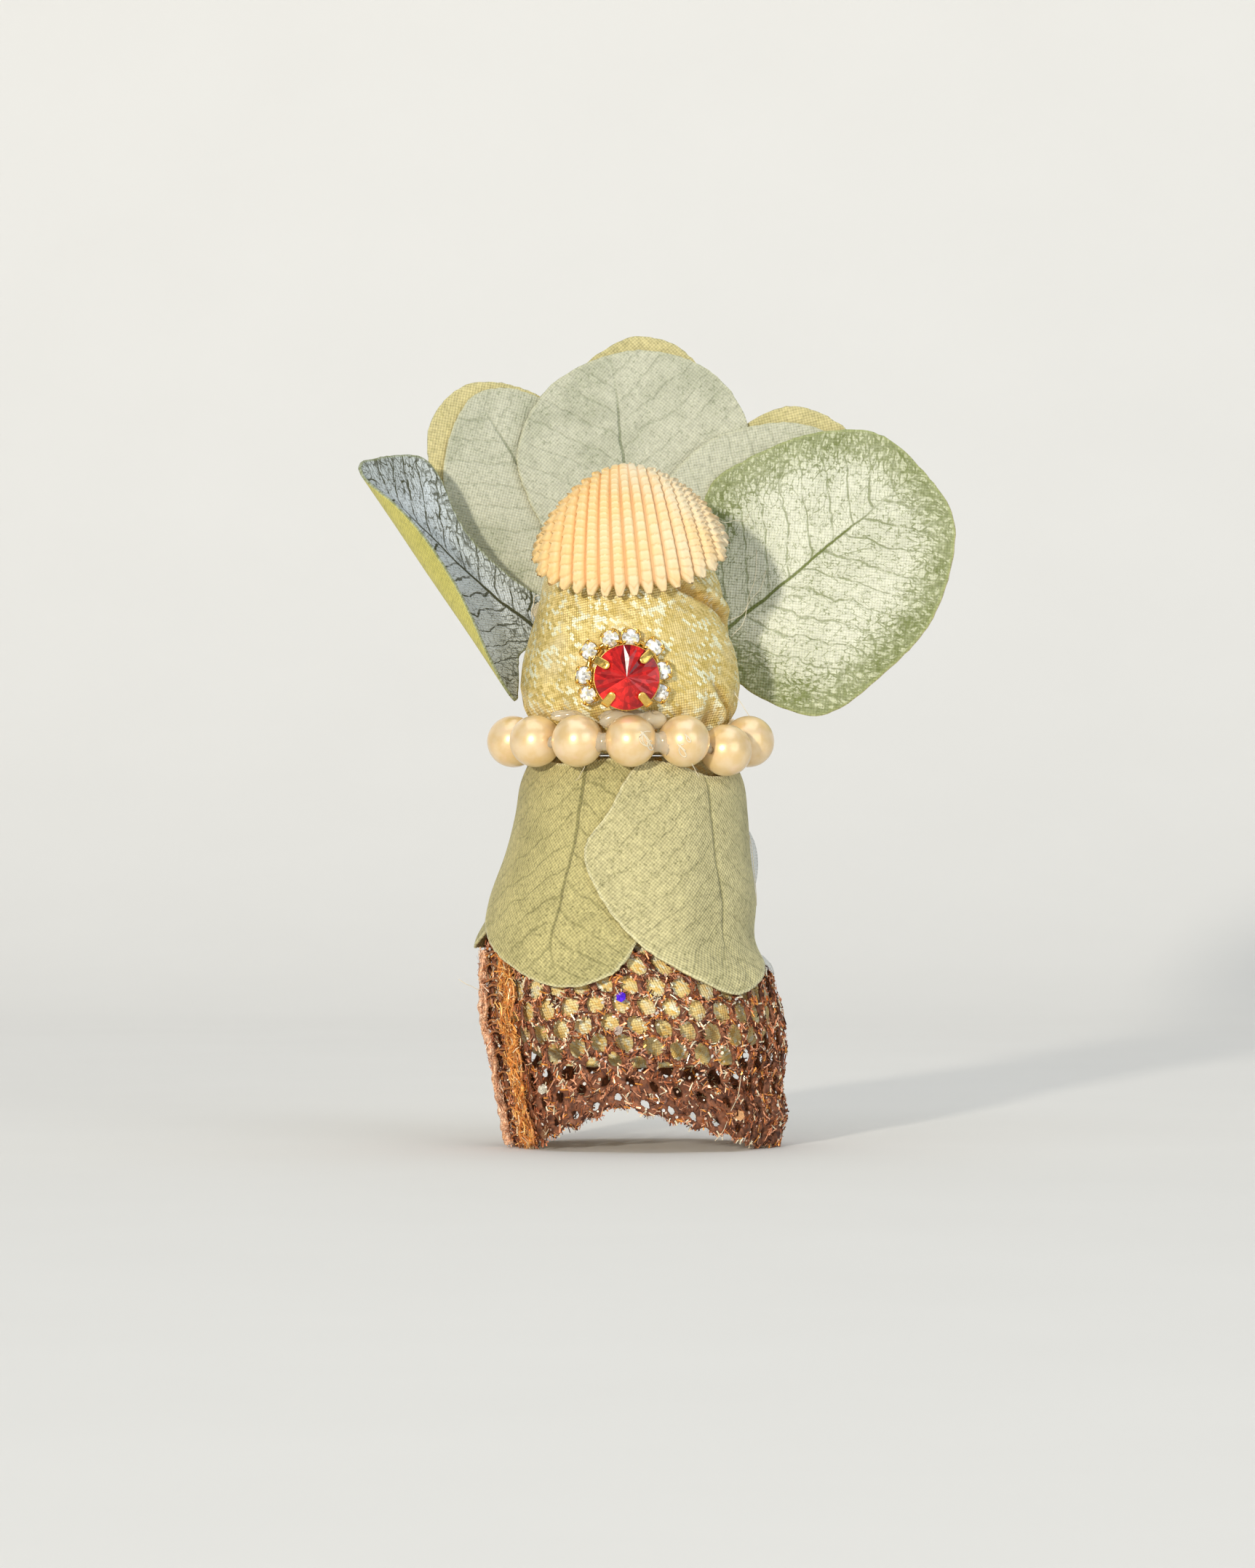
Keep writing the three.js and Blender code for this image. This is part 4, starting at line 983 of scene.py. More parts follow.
def lining_cloth():
    """White cloth wrapped round the waist under the dress leaves, with a corner and an edge that show."""
    def cloth(name, angle, z, height, out, thickness, closed=False, **more):
        points = on_girth(angle, height, out)
        faces = ring_faces(*points.shape[:2], closed)
        piece = make(name, points.reshape(-1, 3), faces, [LINING], "white_cloth",
                     uv=cloth_uv(angle, z, LINING_WRAP), **more)
        thicken(piece, "cloth", thickness)
        return piece

    z = np.linspace(36.3, 54, 30)[:, None]
    angle = around_from_back(140)
    ripple = 0.06 * np.sin(17 * angle + z / 3)
    piece = cloth("lining_cloth", angle, z, z + 0 * angle, -0.5 + ripple, 0.4, True, replaces="lining",
                  around=TURN * LINING_WRAP)

    z = np.linspace(36, 27.6, 14)[:, None]
    across = np.linspace(-1, 1, 11)[None, :]
    angle = np.radians(80 + (7.5 - 5.0 * smoothstep(-z, -33, -27.6)) * across)
    out = -0.14 + (0.95 + 0.15 * across) * smoothstep(-z, -30.6, -28.6)
    corner = cloth("lining_corner", angle, z, z + 0.8 * across * smoothstep(-z, -31, -28), out, 0.15)

    z = np.linspace(50, 38.6, 24)[:, None]
    across = np.linspace(0, 1, 7)[None, :]
    full = np.sin(math.pi * np.linspace(0, 1, 24) ** 0.8)[:, None]
    angle = np.radians(88.4 + 5.6 * across * (0.08 + 0.92 * full))
    edge = cloth("lining_edge", angle, z, z + 0 * across, 0.58 + 1.75 * full * across**1.6, 0.15)


def cell_outline():
    """Six-sided cell round a hole, cut into even steps, so that neighbours share their points."""
    wide = CELL_HALF
    shoulder = ((wide**2 + ROW_PITCH**2) / 2 - wide**2) / ROW_PITCH
    hexagon = np.array([
        [wide, -shoulder], [wide, shoulder], [0, CELL_TIP],
        [-wide, shoulder], [-wide, -shoulder], [0, -CELL_TIP],
    ])
    steps = np.linspace(0, 1, 4, endpoint=False)[:, None]
    return np.vstack([a + steps * (b - a) for a, b in zip(hexagon, np.roll(hexagon, -1, axis=0))])


def net_skirt():
    """Open net of copper thread: a web with staggered holes, tinsel fibres all over it, and foil sequins."""
    outer = cell_outline()
    turn = np.arctan2(outer[:, 1] / HOLE_HALF_HEIGHT, outer[:, 0] / HOLE_HALF_WIDTH)
    hole = np.stack([HOLE_HALF_WIDTH * np.cos(turn), HOLE_HALF_HEIGHT * np.sin(turn)], axis=-1)
    cells = [(c + 0.5 * (r % 2), CELL_TIP + ROW_PITCH * r)
             for r in range(NET_ROWS) for c in range(NET_COLUMNS)]
    index = {}
    faces = []

    def vertex(column, height, lift):
        key = (round(column % NET_COLUMNS, 3) % NET_COLUMNS, round(height, 3), round(lift, 3))
        return index.setdefault(key, len(index))

    holes = 0.0
    for column, height in cells:
        ragged = rng.normal(0, 0.13, (len(outer), 2))
        opened = HOLE_AT_HEM + (1 - HOLE_AT_HEM) * float(smoothstep(height, 3, 14))
        behind = float(smoothstep(-math.cos(column / NET_COLUMNS * TURN), 0.2, 0.6))
        opened *= 1 - MATTED_BEHIND * behind * (1 - float(smoothstep(height, 8, 17)))
        holes += math.pi * HOLE_HALF_WIDTH * HOLE_HALF_HEIGHT * opened**2
        loops = []
        for share, lift in ((0, 0.3), (0.55, 0.2), (1, 0)):
            line = outer + share * (hole * opened - outer) + ragged * share
            loops.append([vertex(column + x / COLUMN_PITCH, height + z, lift) for x, z in line])
        for a, b in zip(loops, loops[1:]):
            for i in range(len(a)):
                j = (i + 1) % len(a)
                faces.append((a[i], a[j], b[j], b[i]))
    column, height, lift = np.array(list(index)).T
    angle = column / NET_COLUMNS * TURN
    wander = 0.25 * np.sin(7 * angle + height / 2.3)
    points = net_point(angle + wander / 23, height, NET_OFFSET + lift)
    mood = rng.uniform(0, 1, len(points))[:, None]
    colours = np.array([0.06, 0.018, 0.009]) * (1 - mood) + np.array([0.34, 0.12, 0.05]) * mood
    web = make("net_web", points, faces, [CORE], "copper_net", "net_skirt", paint=colours)
    thicken(web, "strand", NET_THICKNESS).offset = 0
    round_it = web.modifiers.new("round", "SUBSURF")
    round_it.levels = 1
    round_it.render_levels = 1
    around = NET_COLUMNS * COLUMN_PITCH * MM
    tall = NET_ROWS * ROW_PITCH * MM
    around * tall - holes * MM * MM
    net_fibres(cells, outer, hole)
    net_sequins()
    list(selvage())


def scatter(count, angle, height, offset, lengths, widths, stand):
    """Thin bent strips at points of the net, lying along it and standing a little out of it."""
    at, east, up = net_frame(angle, height, offset)
    heading = rng.uniform(0, TURN, count)[:, None]
    rise = rng.uniform(*stand, count)[:, None]
    direction = unit(np.cos(heading) * east + np.sin(heading) * up + rise * np.cross(east, up))
    side = unit(np.cross(direction, rng.normal(0, 1, (count, 3)))) * widths[:, None] / 2
    bend = rng.normal(0, 0.18, (count, 3)) * lengths[:, None]
    rows = []
    for t in (-0.5, 0.0, 0.5):
        spine = at + direction * (lengths * t)[:, None] + bend * (t * t)
        rows += [spine - side, spine + side]
    start = np.arange(count)[:, None] * len(rows)
    faces = np.vstack([start + quad for quad in ((0, 1, 3, 2), (2, 3, 5, 4))]).tolist()
    return above_floor(np.stack(rows, axis=1).reshape(-1, 3)), faces


def chosen(palette, weights, count):
    colours = np.array(palette)[rng.choice(len(palette), count, p=weights)]
    return colours * rng.uniform(0.75, 1.25, (count, 1))


def net_fibres(cells, outer, hole):
    count = len(cells) * FIBRES_PER_CELL
    middles = np.repeat(np.array(cells), FIBRES_PER_CELL, axis=0)
    spot = rng.integers(0, len(outer), count)
    share = rng.uniform(-0.1, 0.66, count) + np.where(middles[:, 1] < 11, rng.uniform(0, 0.6, count), 0)
    inside = outer[spot] + share[:, None] * (hole[spot] - outer[spot]) + rng.normal(0, 0.14, (count, 2))
    angle = (middles[:, 0] + inside[:, 0] / COLUMN_PITCH) / NET_COLUMNS * TURN
    height = np.maximum(middles[:, 1] + inside[:, 1], 0.25)
    points, faces = scatter(count, angle, height, NET_OFFSET + rng.uniform(-0.2, 0.85, count),
                            rng.uniform(0.6, 1.5, count), rng.uniform(0.12, 0.26, count), (-0.2, 0.5))
    colours = np.repeat(chosen(COPPERS, [0.24, 0.24, 0.26, 0.1, 0.16], count), 6, axis=0)
    return make("net_fibres", points, faces, [TINSEL], "copper_net", paint=colours)


def net_sequins():
    """Six-sided foil sequins where they show, more round the back, and specks of foil all round."""
    seen = [
        (-1.0, 24.0, (0.13, 0.03, 0.9)), (-17.9, 22.1, (0.8, 0.46, 0.36)), (-1.4, 18.9, (0.86, 0.66, 0.54)),
        (-15.8, 15.9, (0.45, 0.22, 0.16)), (-18.4, 25.9, (0.5, 0.26, 0.2)), (-13.1, 9.6, (0.9, 0.8, 0.62)),
        (18.9, 9.8, (0.5, 0.24, 0.08)), (17.2, 5.6, (0.55, 0.26, 0.1)), (-13.1, 2.6, (0.36, 0.16, 0.07)),
    ]
    dull = [(0.8, 0.46, 0.36), (0.9, 0.7, 0.55), (0.5, 0.25, 0.18)]
    bright = [(1.0, 0.86, 0.66), (1.0, 0.93, 0.85), (0.95, 0.66, 0.5)]
    spots = []
    for x, z, colour in seen:
        middle, half = smooth(GIRTH, z)
        angle = math.asin(max(-0.99, min(0.99, (x - middle) / half)))
        lift = float(hem_height(np.array(angle)))
        spots.append((angle, (z - lift) / (1 - lift / WAIST), colour, 0.85))
    for _ in range(34):
        colour = dull[rng.integers(3)]
        spots.append((rng.uniform(1.2, 5.0), rng.uniform(1.5, 30), colour, 0.8))
    for _ in range(420):
        colour = bright[rng.integers(3)]
        spots.append((rng.uniform(0, TURN), rng.uniform(0.6, 32), colour, rng.uniform(0.14, 0.3)))
    points = []
    paint = []
    for angle, height, colour, radius in spots:
        at, east, up = net_frame(np.array(angle), np.array(height), NET_OFFSET + SEQUIN_LIFT)
        lean = rng.normal(0, 0.25, 2)
        out = unit(np.cross(east, up) + lean[0] * east + lean[1] * up)
        east = unit(np.cross(up, out))
        up = np.cross(out, east)
        turn = (turns(6) + rng.uniform(0, 1))[:, None]
        points.append(at + radius * (np.cos(turn) * east + np.sin(turn) * up))
        paint += [colour] * 6
    faces = [tuple(range(start, start + 6)) for start in range(0, len(paint), 6)]
    return make("net_sequins", above_floor(np.vstack(points)), faces, [FOIL], "copper_net", flat=True,
                paint=np.array(paint))


def selvage():
    """Left edge of the net: a twisted outer roll, and an open orange band joined to it by threads."""
    height = np.linspace(SELVAGE_LOW, SELVAGE_HIGH, 170)
    lean = SELVAGE_LEAN * height
    shares = [0.5, 0.25, 0.25]

    def beside(shift):
        return SELVAGE_ANGLE + shift / SELVAGE_GIRTH

    # Shift along the net, lift off it, radius and share of orange of each rope
    ropes = [
        (-5.6 + 0.4 * np.sin(height / 2.1), 0.5 + 0.25 * np.sin(height / 2.6), 0.62, 0.0),
        (-5.2 - 0.45 * np.cos(height / 1.3), 0.55 + 0.4 * np.sin(height / 1.3), 0.42, 0.2),
        (1.2 + lean + 1.5 * np.sin(height / 1.2), 0.45 + 0.25 * np.cos(height / 1.2), 0.28, 1.0),
        (0.9 + lean - 1.5 * np.sin(height / 1.35), 0.45 - 0.25 * np.cos(height / 1.35), 0.28, 0.9),
        (2.5 + lean + 0.7 * np.sin(height / 1.7), 0.3, 0.22, 0.8),
    ]
    parts = []
    paint = []
    for shift, lift, radius, orange in ropes:
        taper = 1 + 0.22 * np.sin(height * 2.7 + radius * 9) + 0.14 * np.sin(height * 0.9)
        points, faces = tube(net_point(beside(shift), height, lift), radius, 12, taper=taper)
        parts.append((above_floor(points), faces))
        dull = chosen([(0.8, 0.46, 0.28), (0.5, 0.23, 0.12), (0.95, 0.68, 0.48)], shares, len(points))
        warm = chosen([(0.8, 0.28, 0.05), (0.5, 0.16, 0.03), (0.9, 0.5, 0.13)], shares, len(points))
        paint.append(dull + (warm - dull) * orange)
    for z in np.arange(SELVAGE_LOW + 1, SELVAGE_HIGH, 1.9):
        shift = np.linspace(-5.2, 0.8 + SELVAGE_LEAN * z, 14)
        rise = z + rng.normal(0, 0.5) + 0.9 * np.sin(np.linspace(0, rng.uniform(2, 4), 14))
        points, faces = tube(net_point(beside(shift), rise, 0.2), 0.16, 6)
        parts.append((above_floor(points), faces))
        paint.append(chosen([(0.55, 0.2, 0.05), (0.3, 0.12, 0.05)], [0.6, 0.4], len(points)))
    points, faces = joined(parts)
    roll = make("selvage_roll", points, faces, [FIBRE], "rust_selvage", "net_selvage", paint=np.vstack(paint))

    count = SELVAGE_FIBRES
    inner = rng.uniform(0, 1, count) < 0.62
    height = rng.uniform(0.4, SELVAGE_HIGH, count)
    shift = np.where(inner, rng.normal(1.4, 1.1, count) + SELVAGE_LEAN * height, rng.normal(-5.4, 0.6, count))
    points, faces = scatter(count, beside(shift), height, rng.uniform(0.1, 1.1, count),
                            rng.uniform(0.8, 2.2, count), rng.uniform(0.1, 0.18, count), (-0.1, 0.35))
    warm = chosen([(0.8, 0.3, 0.05), (0.9, 0.5, 0.15), (0.46, 0.17, 0.05), (1.0, 0.8, 0.5)],
                  [0.4, 0.3, 0.2, 0.1], count)
    dull = chosen([(0.8, 0.46, 0.28), (0.5, 0.23, 0.12), (1.0, 0.75, 0.55)], shares, count)
    colours = np.repeat(np.where(inner[:, None], warm, dull), 6, axis=0)
    return roll, make("selvage_fibres", points, faces, [FIBRE], "rust_selvage", paint=colours)


def pearl_centre(index):
    angle = index / PEARL_COUNT * TURN
    dip = COLLAR_DIP if index % PEARL_COUNT == DIPPED_PEARL else 0
    return round_points(DOLL_MIDDLE, COLLAR_RADIUS, COLLAR_RADIUS, angle, COLLAR_HEIGHT - dip)


def pearls():
    """Fourteen beads with small drilled holes, and the strand through them."""
    start = math.asin(PEARL_BORE / PEARL_RADIUS)
    arc = np.linspace(start, math.pi - start, 40)
    mouth = [(PEARL_BORE * 0.8, PEARL_RADIUS * 0.8), (PEARL_BORE * 0.92, PEARL_RADIUS * 0.965)]
    profile = [(radius, -along) for radius, along in mouth]
    profile += [(PEARL_RADIUS * math.sin(a), -PEARL_RADIUS * math.cos(a)) for a in arc]
    profile += mouth[::-1]
    columns = 56
    turn = turns(columns)[:, None]
    for i in range(PEARL_COUNT):
        axis = unit(pearl_centre(i + 1) - pearl_centre(i - 1))
        aside = unit(np.cross(axis, [0.3, 0.2, 0.93]))
        ring = np.cos(turn) * aside + np.sin(turn) * np.cross(axis, aside)
        points = np.vstack([pearl_centre(i) + axis * along + radius * ring for radius, along in profile])
        number = f"{i + 1:02d}"
        make("bead_" + number, points, capped(len(profile), columns), [PEARL], "pearl", "pearl_" + number)

    line = np.array([pearl_centre(i) for i in range(PEARL_COUNT)])
    steps = np.arange(4)[:, None] / 4
    path = np.vstack([a + (b - a) * steps for a, b in zip(line, np.roll(line, -1, axis=0))])
    sides = 8
    points, faces = tube(path, STRAND_RADIUS, sides, closed=True)
    uv = cloth_uv(turns(sides)[None, :], run_along(path)[:, None], STRAND_RADIUS)
    make("strand_thread", points, faces, [THREAD], "thread", "pearl_strand", uv=uv)


def on_pearl(index, across, up, lift):
    """Point on the front of a bead, by its place in view."""
    r = PEARL_RADIUS + lift
    deep = np.sqrt(np.maximum(r * r - across * across - up * up, 0))
    return pearl_centre(index) + np.stack([across, -deep, up], axis=-1)


def threads(ends):
    """Hair-thin strings of glue, each from one point to another with its own sag."""
    u = np.linspace(0, 1, 24)[:, None]
    strands = []
    for start, end, sag in ends:
        line = np.array(start) + (np.array(end) - np.array(start)) * u
        line = line + np.array([0.6, -0.3, -1.0]) * sag * np.sin(math.pi * u) * (1 + 0.3 * np.sin(9 * u))
        strands.append(tube(line, GLUE_THREAD, 5))
    return joined(strands)


def glue():
    """Hot glue: the mass over the collar, necks between front beads, smears on them, and drawn threads."""
    parts = [
        lump((-0.8, -17.0, 66.4), (3.6, 1.5, 1.4), 0.16, 0.4),
        lump((3.6, -16.7, 66.3), (2.6, 1.4, 1.3), 0.16, 1.7),
        lump((-9.2, -14.2, 67.0), (2.6, 1.0, 0.8), 0.16, 2.9),
    ]
    share = np.linspace(0.34, 0.66, 12)
    taper = 1 + 0.55 * ((share - 0.5) / 0.16) ** 2
    for a, b, thick in ((-2, -1, 0.9), (-1, 0, 1.35), (0, 1, 1.5), (1, 2, 0.7)):
        start, end = pearl_centre(a), pearl_centre(b)
        path = start + (end - start) * share[:, None] + np.array([0, -0.5, -0.2])
        points, faces = tube(path, thick, 18, taper=taper)
        parts.append((points + 0.1 * np.sin(points * 2.1 + a), faces))
    make("collar_glue_mass", *joined(parts), [GLUE], "hot_glue", "collar_glue")

    smears = []
    t = np.linspace(0, 1, 60)
    for index, across, up, size, wind, laps in ((0, 2.2, 0.3, 0.95, 2.0, 2.6), (0, 2.9, -0.7, 0.6, 0.4, 1.8),
                                                (1, -0.3, -1.5, 0.8, 1.0, 1.7), (1, 0.6, 0.4, 0.5, 2.6, 1.1)):
        swing = laps * TURN * t + wind
        line = on_pearl(index, across + size * np.cos(swing) * (0.5 + 0.5 * t),
                        up + size * 1.2 * np.sin(swing * 0.77 + 0.5), 0.06)
        smears.append(tube(line, 0.11, 6))
    make("glue_smears", *joined(smears), [GLUE_FILM], "hot_glue")

    make("glue_threads", *threads([
        ([16.4, -5.2, 71], [18.9, -4.6, 67.1], 0.3), ([-13.8, -1.6, 86.0], [-14.8, -1.9, 82.0], -0.8),
        ([-6.4, -17.5, 60.0], [-8.0, -13.8, 57.0], 0.3), ([9.5, -18.8, 60.2], [11.0, -16.5, 57.5], 0.3),
        ([1.0, -17.9, 67.2], [-3.4, -17.9, 66.2], 0.5), ([17.5, -14.6, 12], [13.4, -17.0, 1.8], 0.9),
        ([-22.6, -4, 24.5], [-26.2, -5.5, 26.2], 0.4), ([23.6, -4, 15], [23.4, -3.5, 3], 0.3),
    ]), [GLUE_FILM], "hot_glue")
    make("glue_wisp", *threads([([19.0, -1.5, 48.5], [20.1, -2, 37.5], 0.4)]), [GLUE_FILM], "hot_glue",
         body="dress_front_right_body")

    drawn = make("glue_strings", *threads([
        ([16.2, -1.5, 79.5], [20.5, 16.7, 94.0], 1.6), ([15.7, 0.5, 82], [22.0, 16.0, 90.5], 1.2),
        ([12.8, -8.7, 97.9], [19.4, 17.5, 99.5], 1.2),
    ]), [GLUE_FILM], "hot_glue", body=None)
    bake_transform(drawn)


def on_forehead(x, z, out):
    depth = head_depth(STONE_SIDE, STONE_HEIGHT)
    return np.stack(np.broadcast_arrays(STONE_SIDE + x, -depth - out, STONE_HEIGHT + z), axis=-1)


def facets(triangles, colours):
    """Points, faces and paint of flat facets that share no points."""
    points = np.array(triangles).reshape(-1, 3)
    faces = np.arange(len(points)).reshape(-1, 3).tolist()
    return points, faces, np.repeat(np.array(colours), 3, axis=0)


def red_stone():
    """Pointed round stone: long kites from the point, and small facets at the girdle, each with a painted
    reflection: brighter toward the lower left, lighter and darker kites side by side, darker girdle and
    underside, and one painted glint.
    """
    def ring(radius, out, shift):
        turn = (np.arange(STONE_FACETS) + shift) / STONE_FACETS * TURN + 0.1
        return on_forehead(radius * np.cos(turn), radius * np.sin(turn), out)

    # Painted light of a facet: brightest toward the lower left, plus a random part
    def facet_light(i, extra):
        turn = TURN * i / STONE_FACETS
        return np.clip(0.42 + 0.3 * math.cos(turn - math.radians(235)) + extra, 0.05, 1.0)

    apex = on_forehead(0.0, 0.0, STONE_APEX)
    inner = ring(3.05, STONE_CROWN + 0.92, 0)
    rim = ring(STONE_RADIUS, STONE_CROWN, 0.5)
    between = ring(STONE_RADIUS, STONE_CROWN, 0)
    under = ring(STONE_RADIUS, STONE_GIRDLE, 0.5)
    under_between = ring(STONE_RADIUS, STONE_GIRDLE, 0)
    point = on_forehead(0.0, 0.0, 1.0)
    triangles = []
    colours = []
    for i in range(STONE_FACETS):
        j = (i + 1) % STONE_FACETS
        if i == GLINT_FACET:
            glint = len(colours)
        main = facet_light(i + 0.5, rng.uniform(-0.3, 0.3))
        for corners, change in (
            ((apex, inner[i], rim[i]), 0.06), ((apex, rim[i], inner[j]), -0.1),
            ((inner[i], between[i], rim[i]), rng.uniform(-0.3, 0.25)),
            ((inner[j], rim[i], between[j]), rng.uniform(-0.3, 0.25)),
            ((rim[i], between[i], under_between[i]), -0.1), ((rim[i], under_between[i], under[i]), -0.1),
            ((between[j], rim[i], under[i]), -0.1), ((between[j], under[i], under_between[j]), -0.1),
            ((under[i], under_between[i], point), -0.2), ((under_between[j], under[i], point), -0.2),
        ):
            triangles.append(corners)
            colours.append(STONE_DEEP + (STONE_BRIGHT - STONE_DEEP) * np.clip(main + change, 0, 1))
    # Painted highlight: one kite carries the glint colour
    colours[glint] = STONE_GLINT
    points, faces, paint = facets(triangles, colours)
    make("red_stone_cut", points, faces, [RED], "red_glass", "red_stone", flat=True, paint=paint)


def setting():
    """Gilt bowl under the red stone with four rounded prongs folded over its edge."""
    columns = 64
    turn = turns(columns)
    outline = [
        (0.05, 0.3), (1.9, 0.3), (4.8, 2.3), (5.06, 2.6), (5.1, 2.85), (5.02, 2.95), (4.9, 2.8), (0.05, 0.7),
    ]
    rings = [on_forehead(r * np.cos(turn), r * np.sin(turn), out) for r, out in outline]
    parts = [(np.vstack(rings), ring_faces(len(outline), columns))]
    spine = np.array([
        [4.95, 2.2], [5.3, 2.7], [5.4, 3.2], [5.15, 3.66], [4.6, 3.98], [3.9, 4.28], [3.1, 4.6],
    ])
    spine = even_spacing(spine, 24)
    slope = unit(np.gradient(spine, axis=0))
    run = np.linspace(0, 1, len(spine))[:, None]
    wide = 0.68 * np.sqrt(np.maximum(1 - ((run - 0.78) / 0.22).clip(0, 1) ** 2.6, 0.02))
    deep = 0.24 * np.sqrt(np.maximum(1 - ((run - 0.85) / 0.15).clip(0, 1) ** 2, 0.05))
    lap = turns(16)
    boxy = 0.55
    across, depth = (np.sign(wave) * np.abs(wave) ** boxy for wave in (np.cos(lap), np.sin(lap)))
    radial = spine[:, :1] + slope[:, 1:] * deep * depth
    out = spine[:, 1:] - slope[:, :1] * deep * depth
    sideways = wide * across
    for a in np.radians(PRONG_ANGLES):
        x = radial * math.cos(a) - sideways * math.sin(a)
        z = radial * math.sin(a) + sideways * math.cos(a)
        parts.append((on_forehead(x, z, out).reshape(-1, 3), capped(len(spine), len(lap))))
    make("setting_gilt", *joined(parts), [GILT], "gilt", "stone_setting")


def chip_frame(spot):
    """Place of a clear stone on the head, and its directions across, along the arc and out."""
    def at(x, z):
        return np.array([x, -head_depth(x, z), z])

    side, rise = spot
    x = STONE_SIDE + side
    z = STONE_HEIGHT + rise
    out = unit(np.cross(at(x + 0.4, z) - at(x - 0.4, z), at(x, z + 0.4) - at(x, z - 0.4)))
    origin = at(x - out[0] * CHIP_TOP, z - out[2] * CHIP_TOP) + out * CUP_LIFT
    a = math.atan2(rise, side)
    across = unit(np.cross([-math.sin(a), 0, math.cos(a)], out))
    return origin, across, np.cross(out, across), out


def chips():
    """Eight clear stones with a table and two rows of facets, each facet painted with a random reflection
    tone.
    """
    # Painted reflections: white, grey, yellow and dark tones given to the facets at random
    reflection_tones = [(0.96, 0.96, 0.94), (0.8, 0.77, 0.68), (0.93, 0.84, 0.56), (0.5, 0.46, 0.4), (1.0, 1.0, 1.0),
             (0.68, 0.66, 0.62)]
    chance = [0.26, 0.18, 0.18, 0.14, 0.18, 0.06]
    for index, spot in enumerate(CHIP_SPOTS):
        origin, across, along, out = chip_frame(spot)

        def ring(radius, height, shift):
            turn = ((np.arange(CHIP_FACETS) + shift) / CHIP_FACETS * TURN)[:, None]
            return origin + radius * (np.cos(turn) * across + np.sin(turn) * along) + out * height

        table = ring(0.66, 1.86, 0)
        star = ring(0.98, 1.66, 0.5)
        girdle = ring(CHIP_RADIUS, CHIP_GIRDLE, 0)
        girdle_between = ring(CHIP_RADIUS, CHIP_GIRDLE, 0.5)
        top = origin + out * 1.87
        point = origin + out * 0.45
        triangles = []
        for i in range(CHIP_FACETS):
            j = (i + 1) % CHIP_FACETS
            triangles += [
                [top, table[i], table[j]], [table[i], star[i], table[j]],
                [table[i], girdle[i], star[i]], [table[j], star[i], girdle[j]],
                [star[i], girdle[i], girdle_between[i]], [star[i], girdle_between[i], girdle[j]],
                [point, girdle_between[i], girdle[i]], [point, girdle[j], girdle_between[i]],
            ]
        colours = np.array(reflection_tones)[rng.choice(len(reflection_tones), len(triangles), p=chance)]
        points, faces, paint = facets(triangles, colours)
        name = f"clear_stone_{index + 1:02d}"
        make(name + "_cut", points, faces, [CLEAR], "clear_glass", name, flat=True, paint=paint)


def cup_chain():
    """Gilt cups with a claw at each corner, linked in an arc."""
    frames = [chip_frame(spot) for spot in CHIP_SPOTS]
    columns = 32
    turn = turns(columns)
    square = 1 / np.maximum(np.abs(np.cos(turn)), np.abs(np.sin(turn)))
    cup = np.minimum(square, 1.24) * CUP_SIDE / 2
    even = np.ones(columns)
    profile = [
        (cup * 0.2, 0.02), (cup * 0.86, 0.02), (cup * 0.98, 0.18), (cup, 0.9), (cup * 0.98, 1.3),
        (even * (CHIP_RADIUS + 0.1), 1.38), (even * (CHIP_RADIUS + 0.03), 1.2), (even * 0.3, 0.4),
    ]
    claw = [(1.52, 0.5), (1.54, 1.0), (1.46, 1.38), (1.22, 1.62), (1.0, 1.72)]
    claw_taper = [1, 1, 1, 1.05, 1.1, 1.1, 1.0, 0.8, 0.35]
    parts = []
    for origin, across, along, out in frames:
        rings = [
            origin + (radius * np.cos(turn))[:, None] * across + (radius * np.sin(turn))[:, None] * along
            + height * out for radius, height in profile
        ]
        parts.append((np.vstack(rings), ring_faces(len(rings), columns)))
        for a in turns(4) + math.pi / 4:
            way = math.cos(a) * across + math.sin(a) * along
            path = even_spacing(np.array([origin + way * r + out * h for r, h in claw]), len(claw_taper))
            parts.append(tube(path, 0.27, 10, taper=claw_taper))
    bars = [origin + out * 0.3 for origin, _, _, out in frames]
    for start, end in zip(bars, bars[1:]):
        parts.append(tube(start + (end - start) * np.linspace(0.25, 0.75, 8)[:, None], 0.42, 12))
    make("cup_chain_gilt", *joined(parts), [GILT], "gilt", "cup_chain")


def shell_place(across, ahead, up):
    """Point on the drawing from a place on the shell: tilted forward, then rolled to the side."""
    ct, st = math.cos(SHELL_TILT), math.sin(SHELL_TILT)
    cr, sr = math.cos(SHELL_ROLL), math.sin(SHELL_ROLL)
    y = -ahead * ct - up * st
    z = -ahead * st + up * ct
    points = np.stack([across * cr + z * sr, y, -across * sr + z * cr], axis=-1)
    return (points + SHELL_HINGE).reshape(-1, 3)


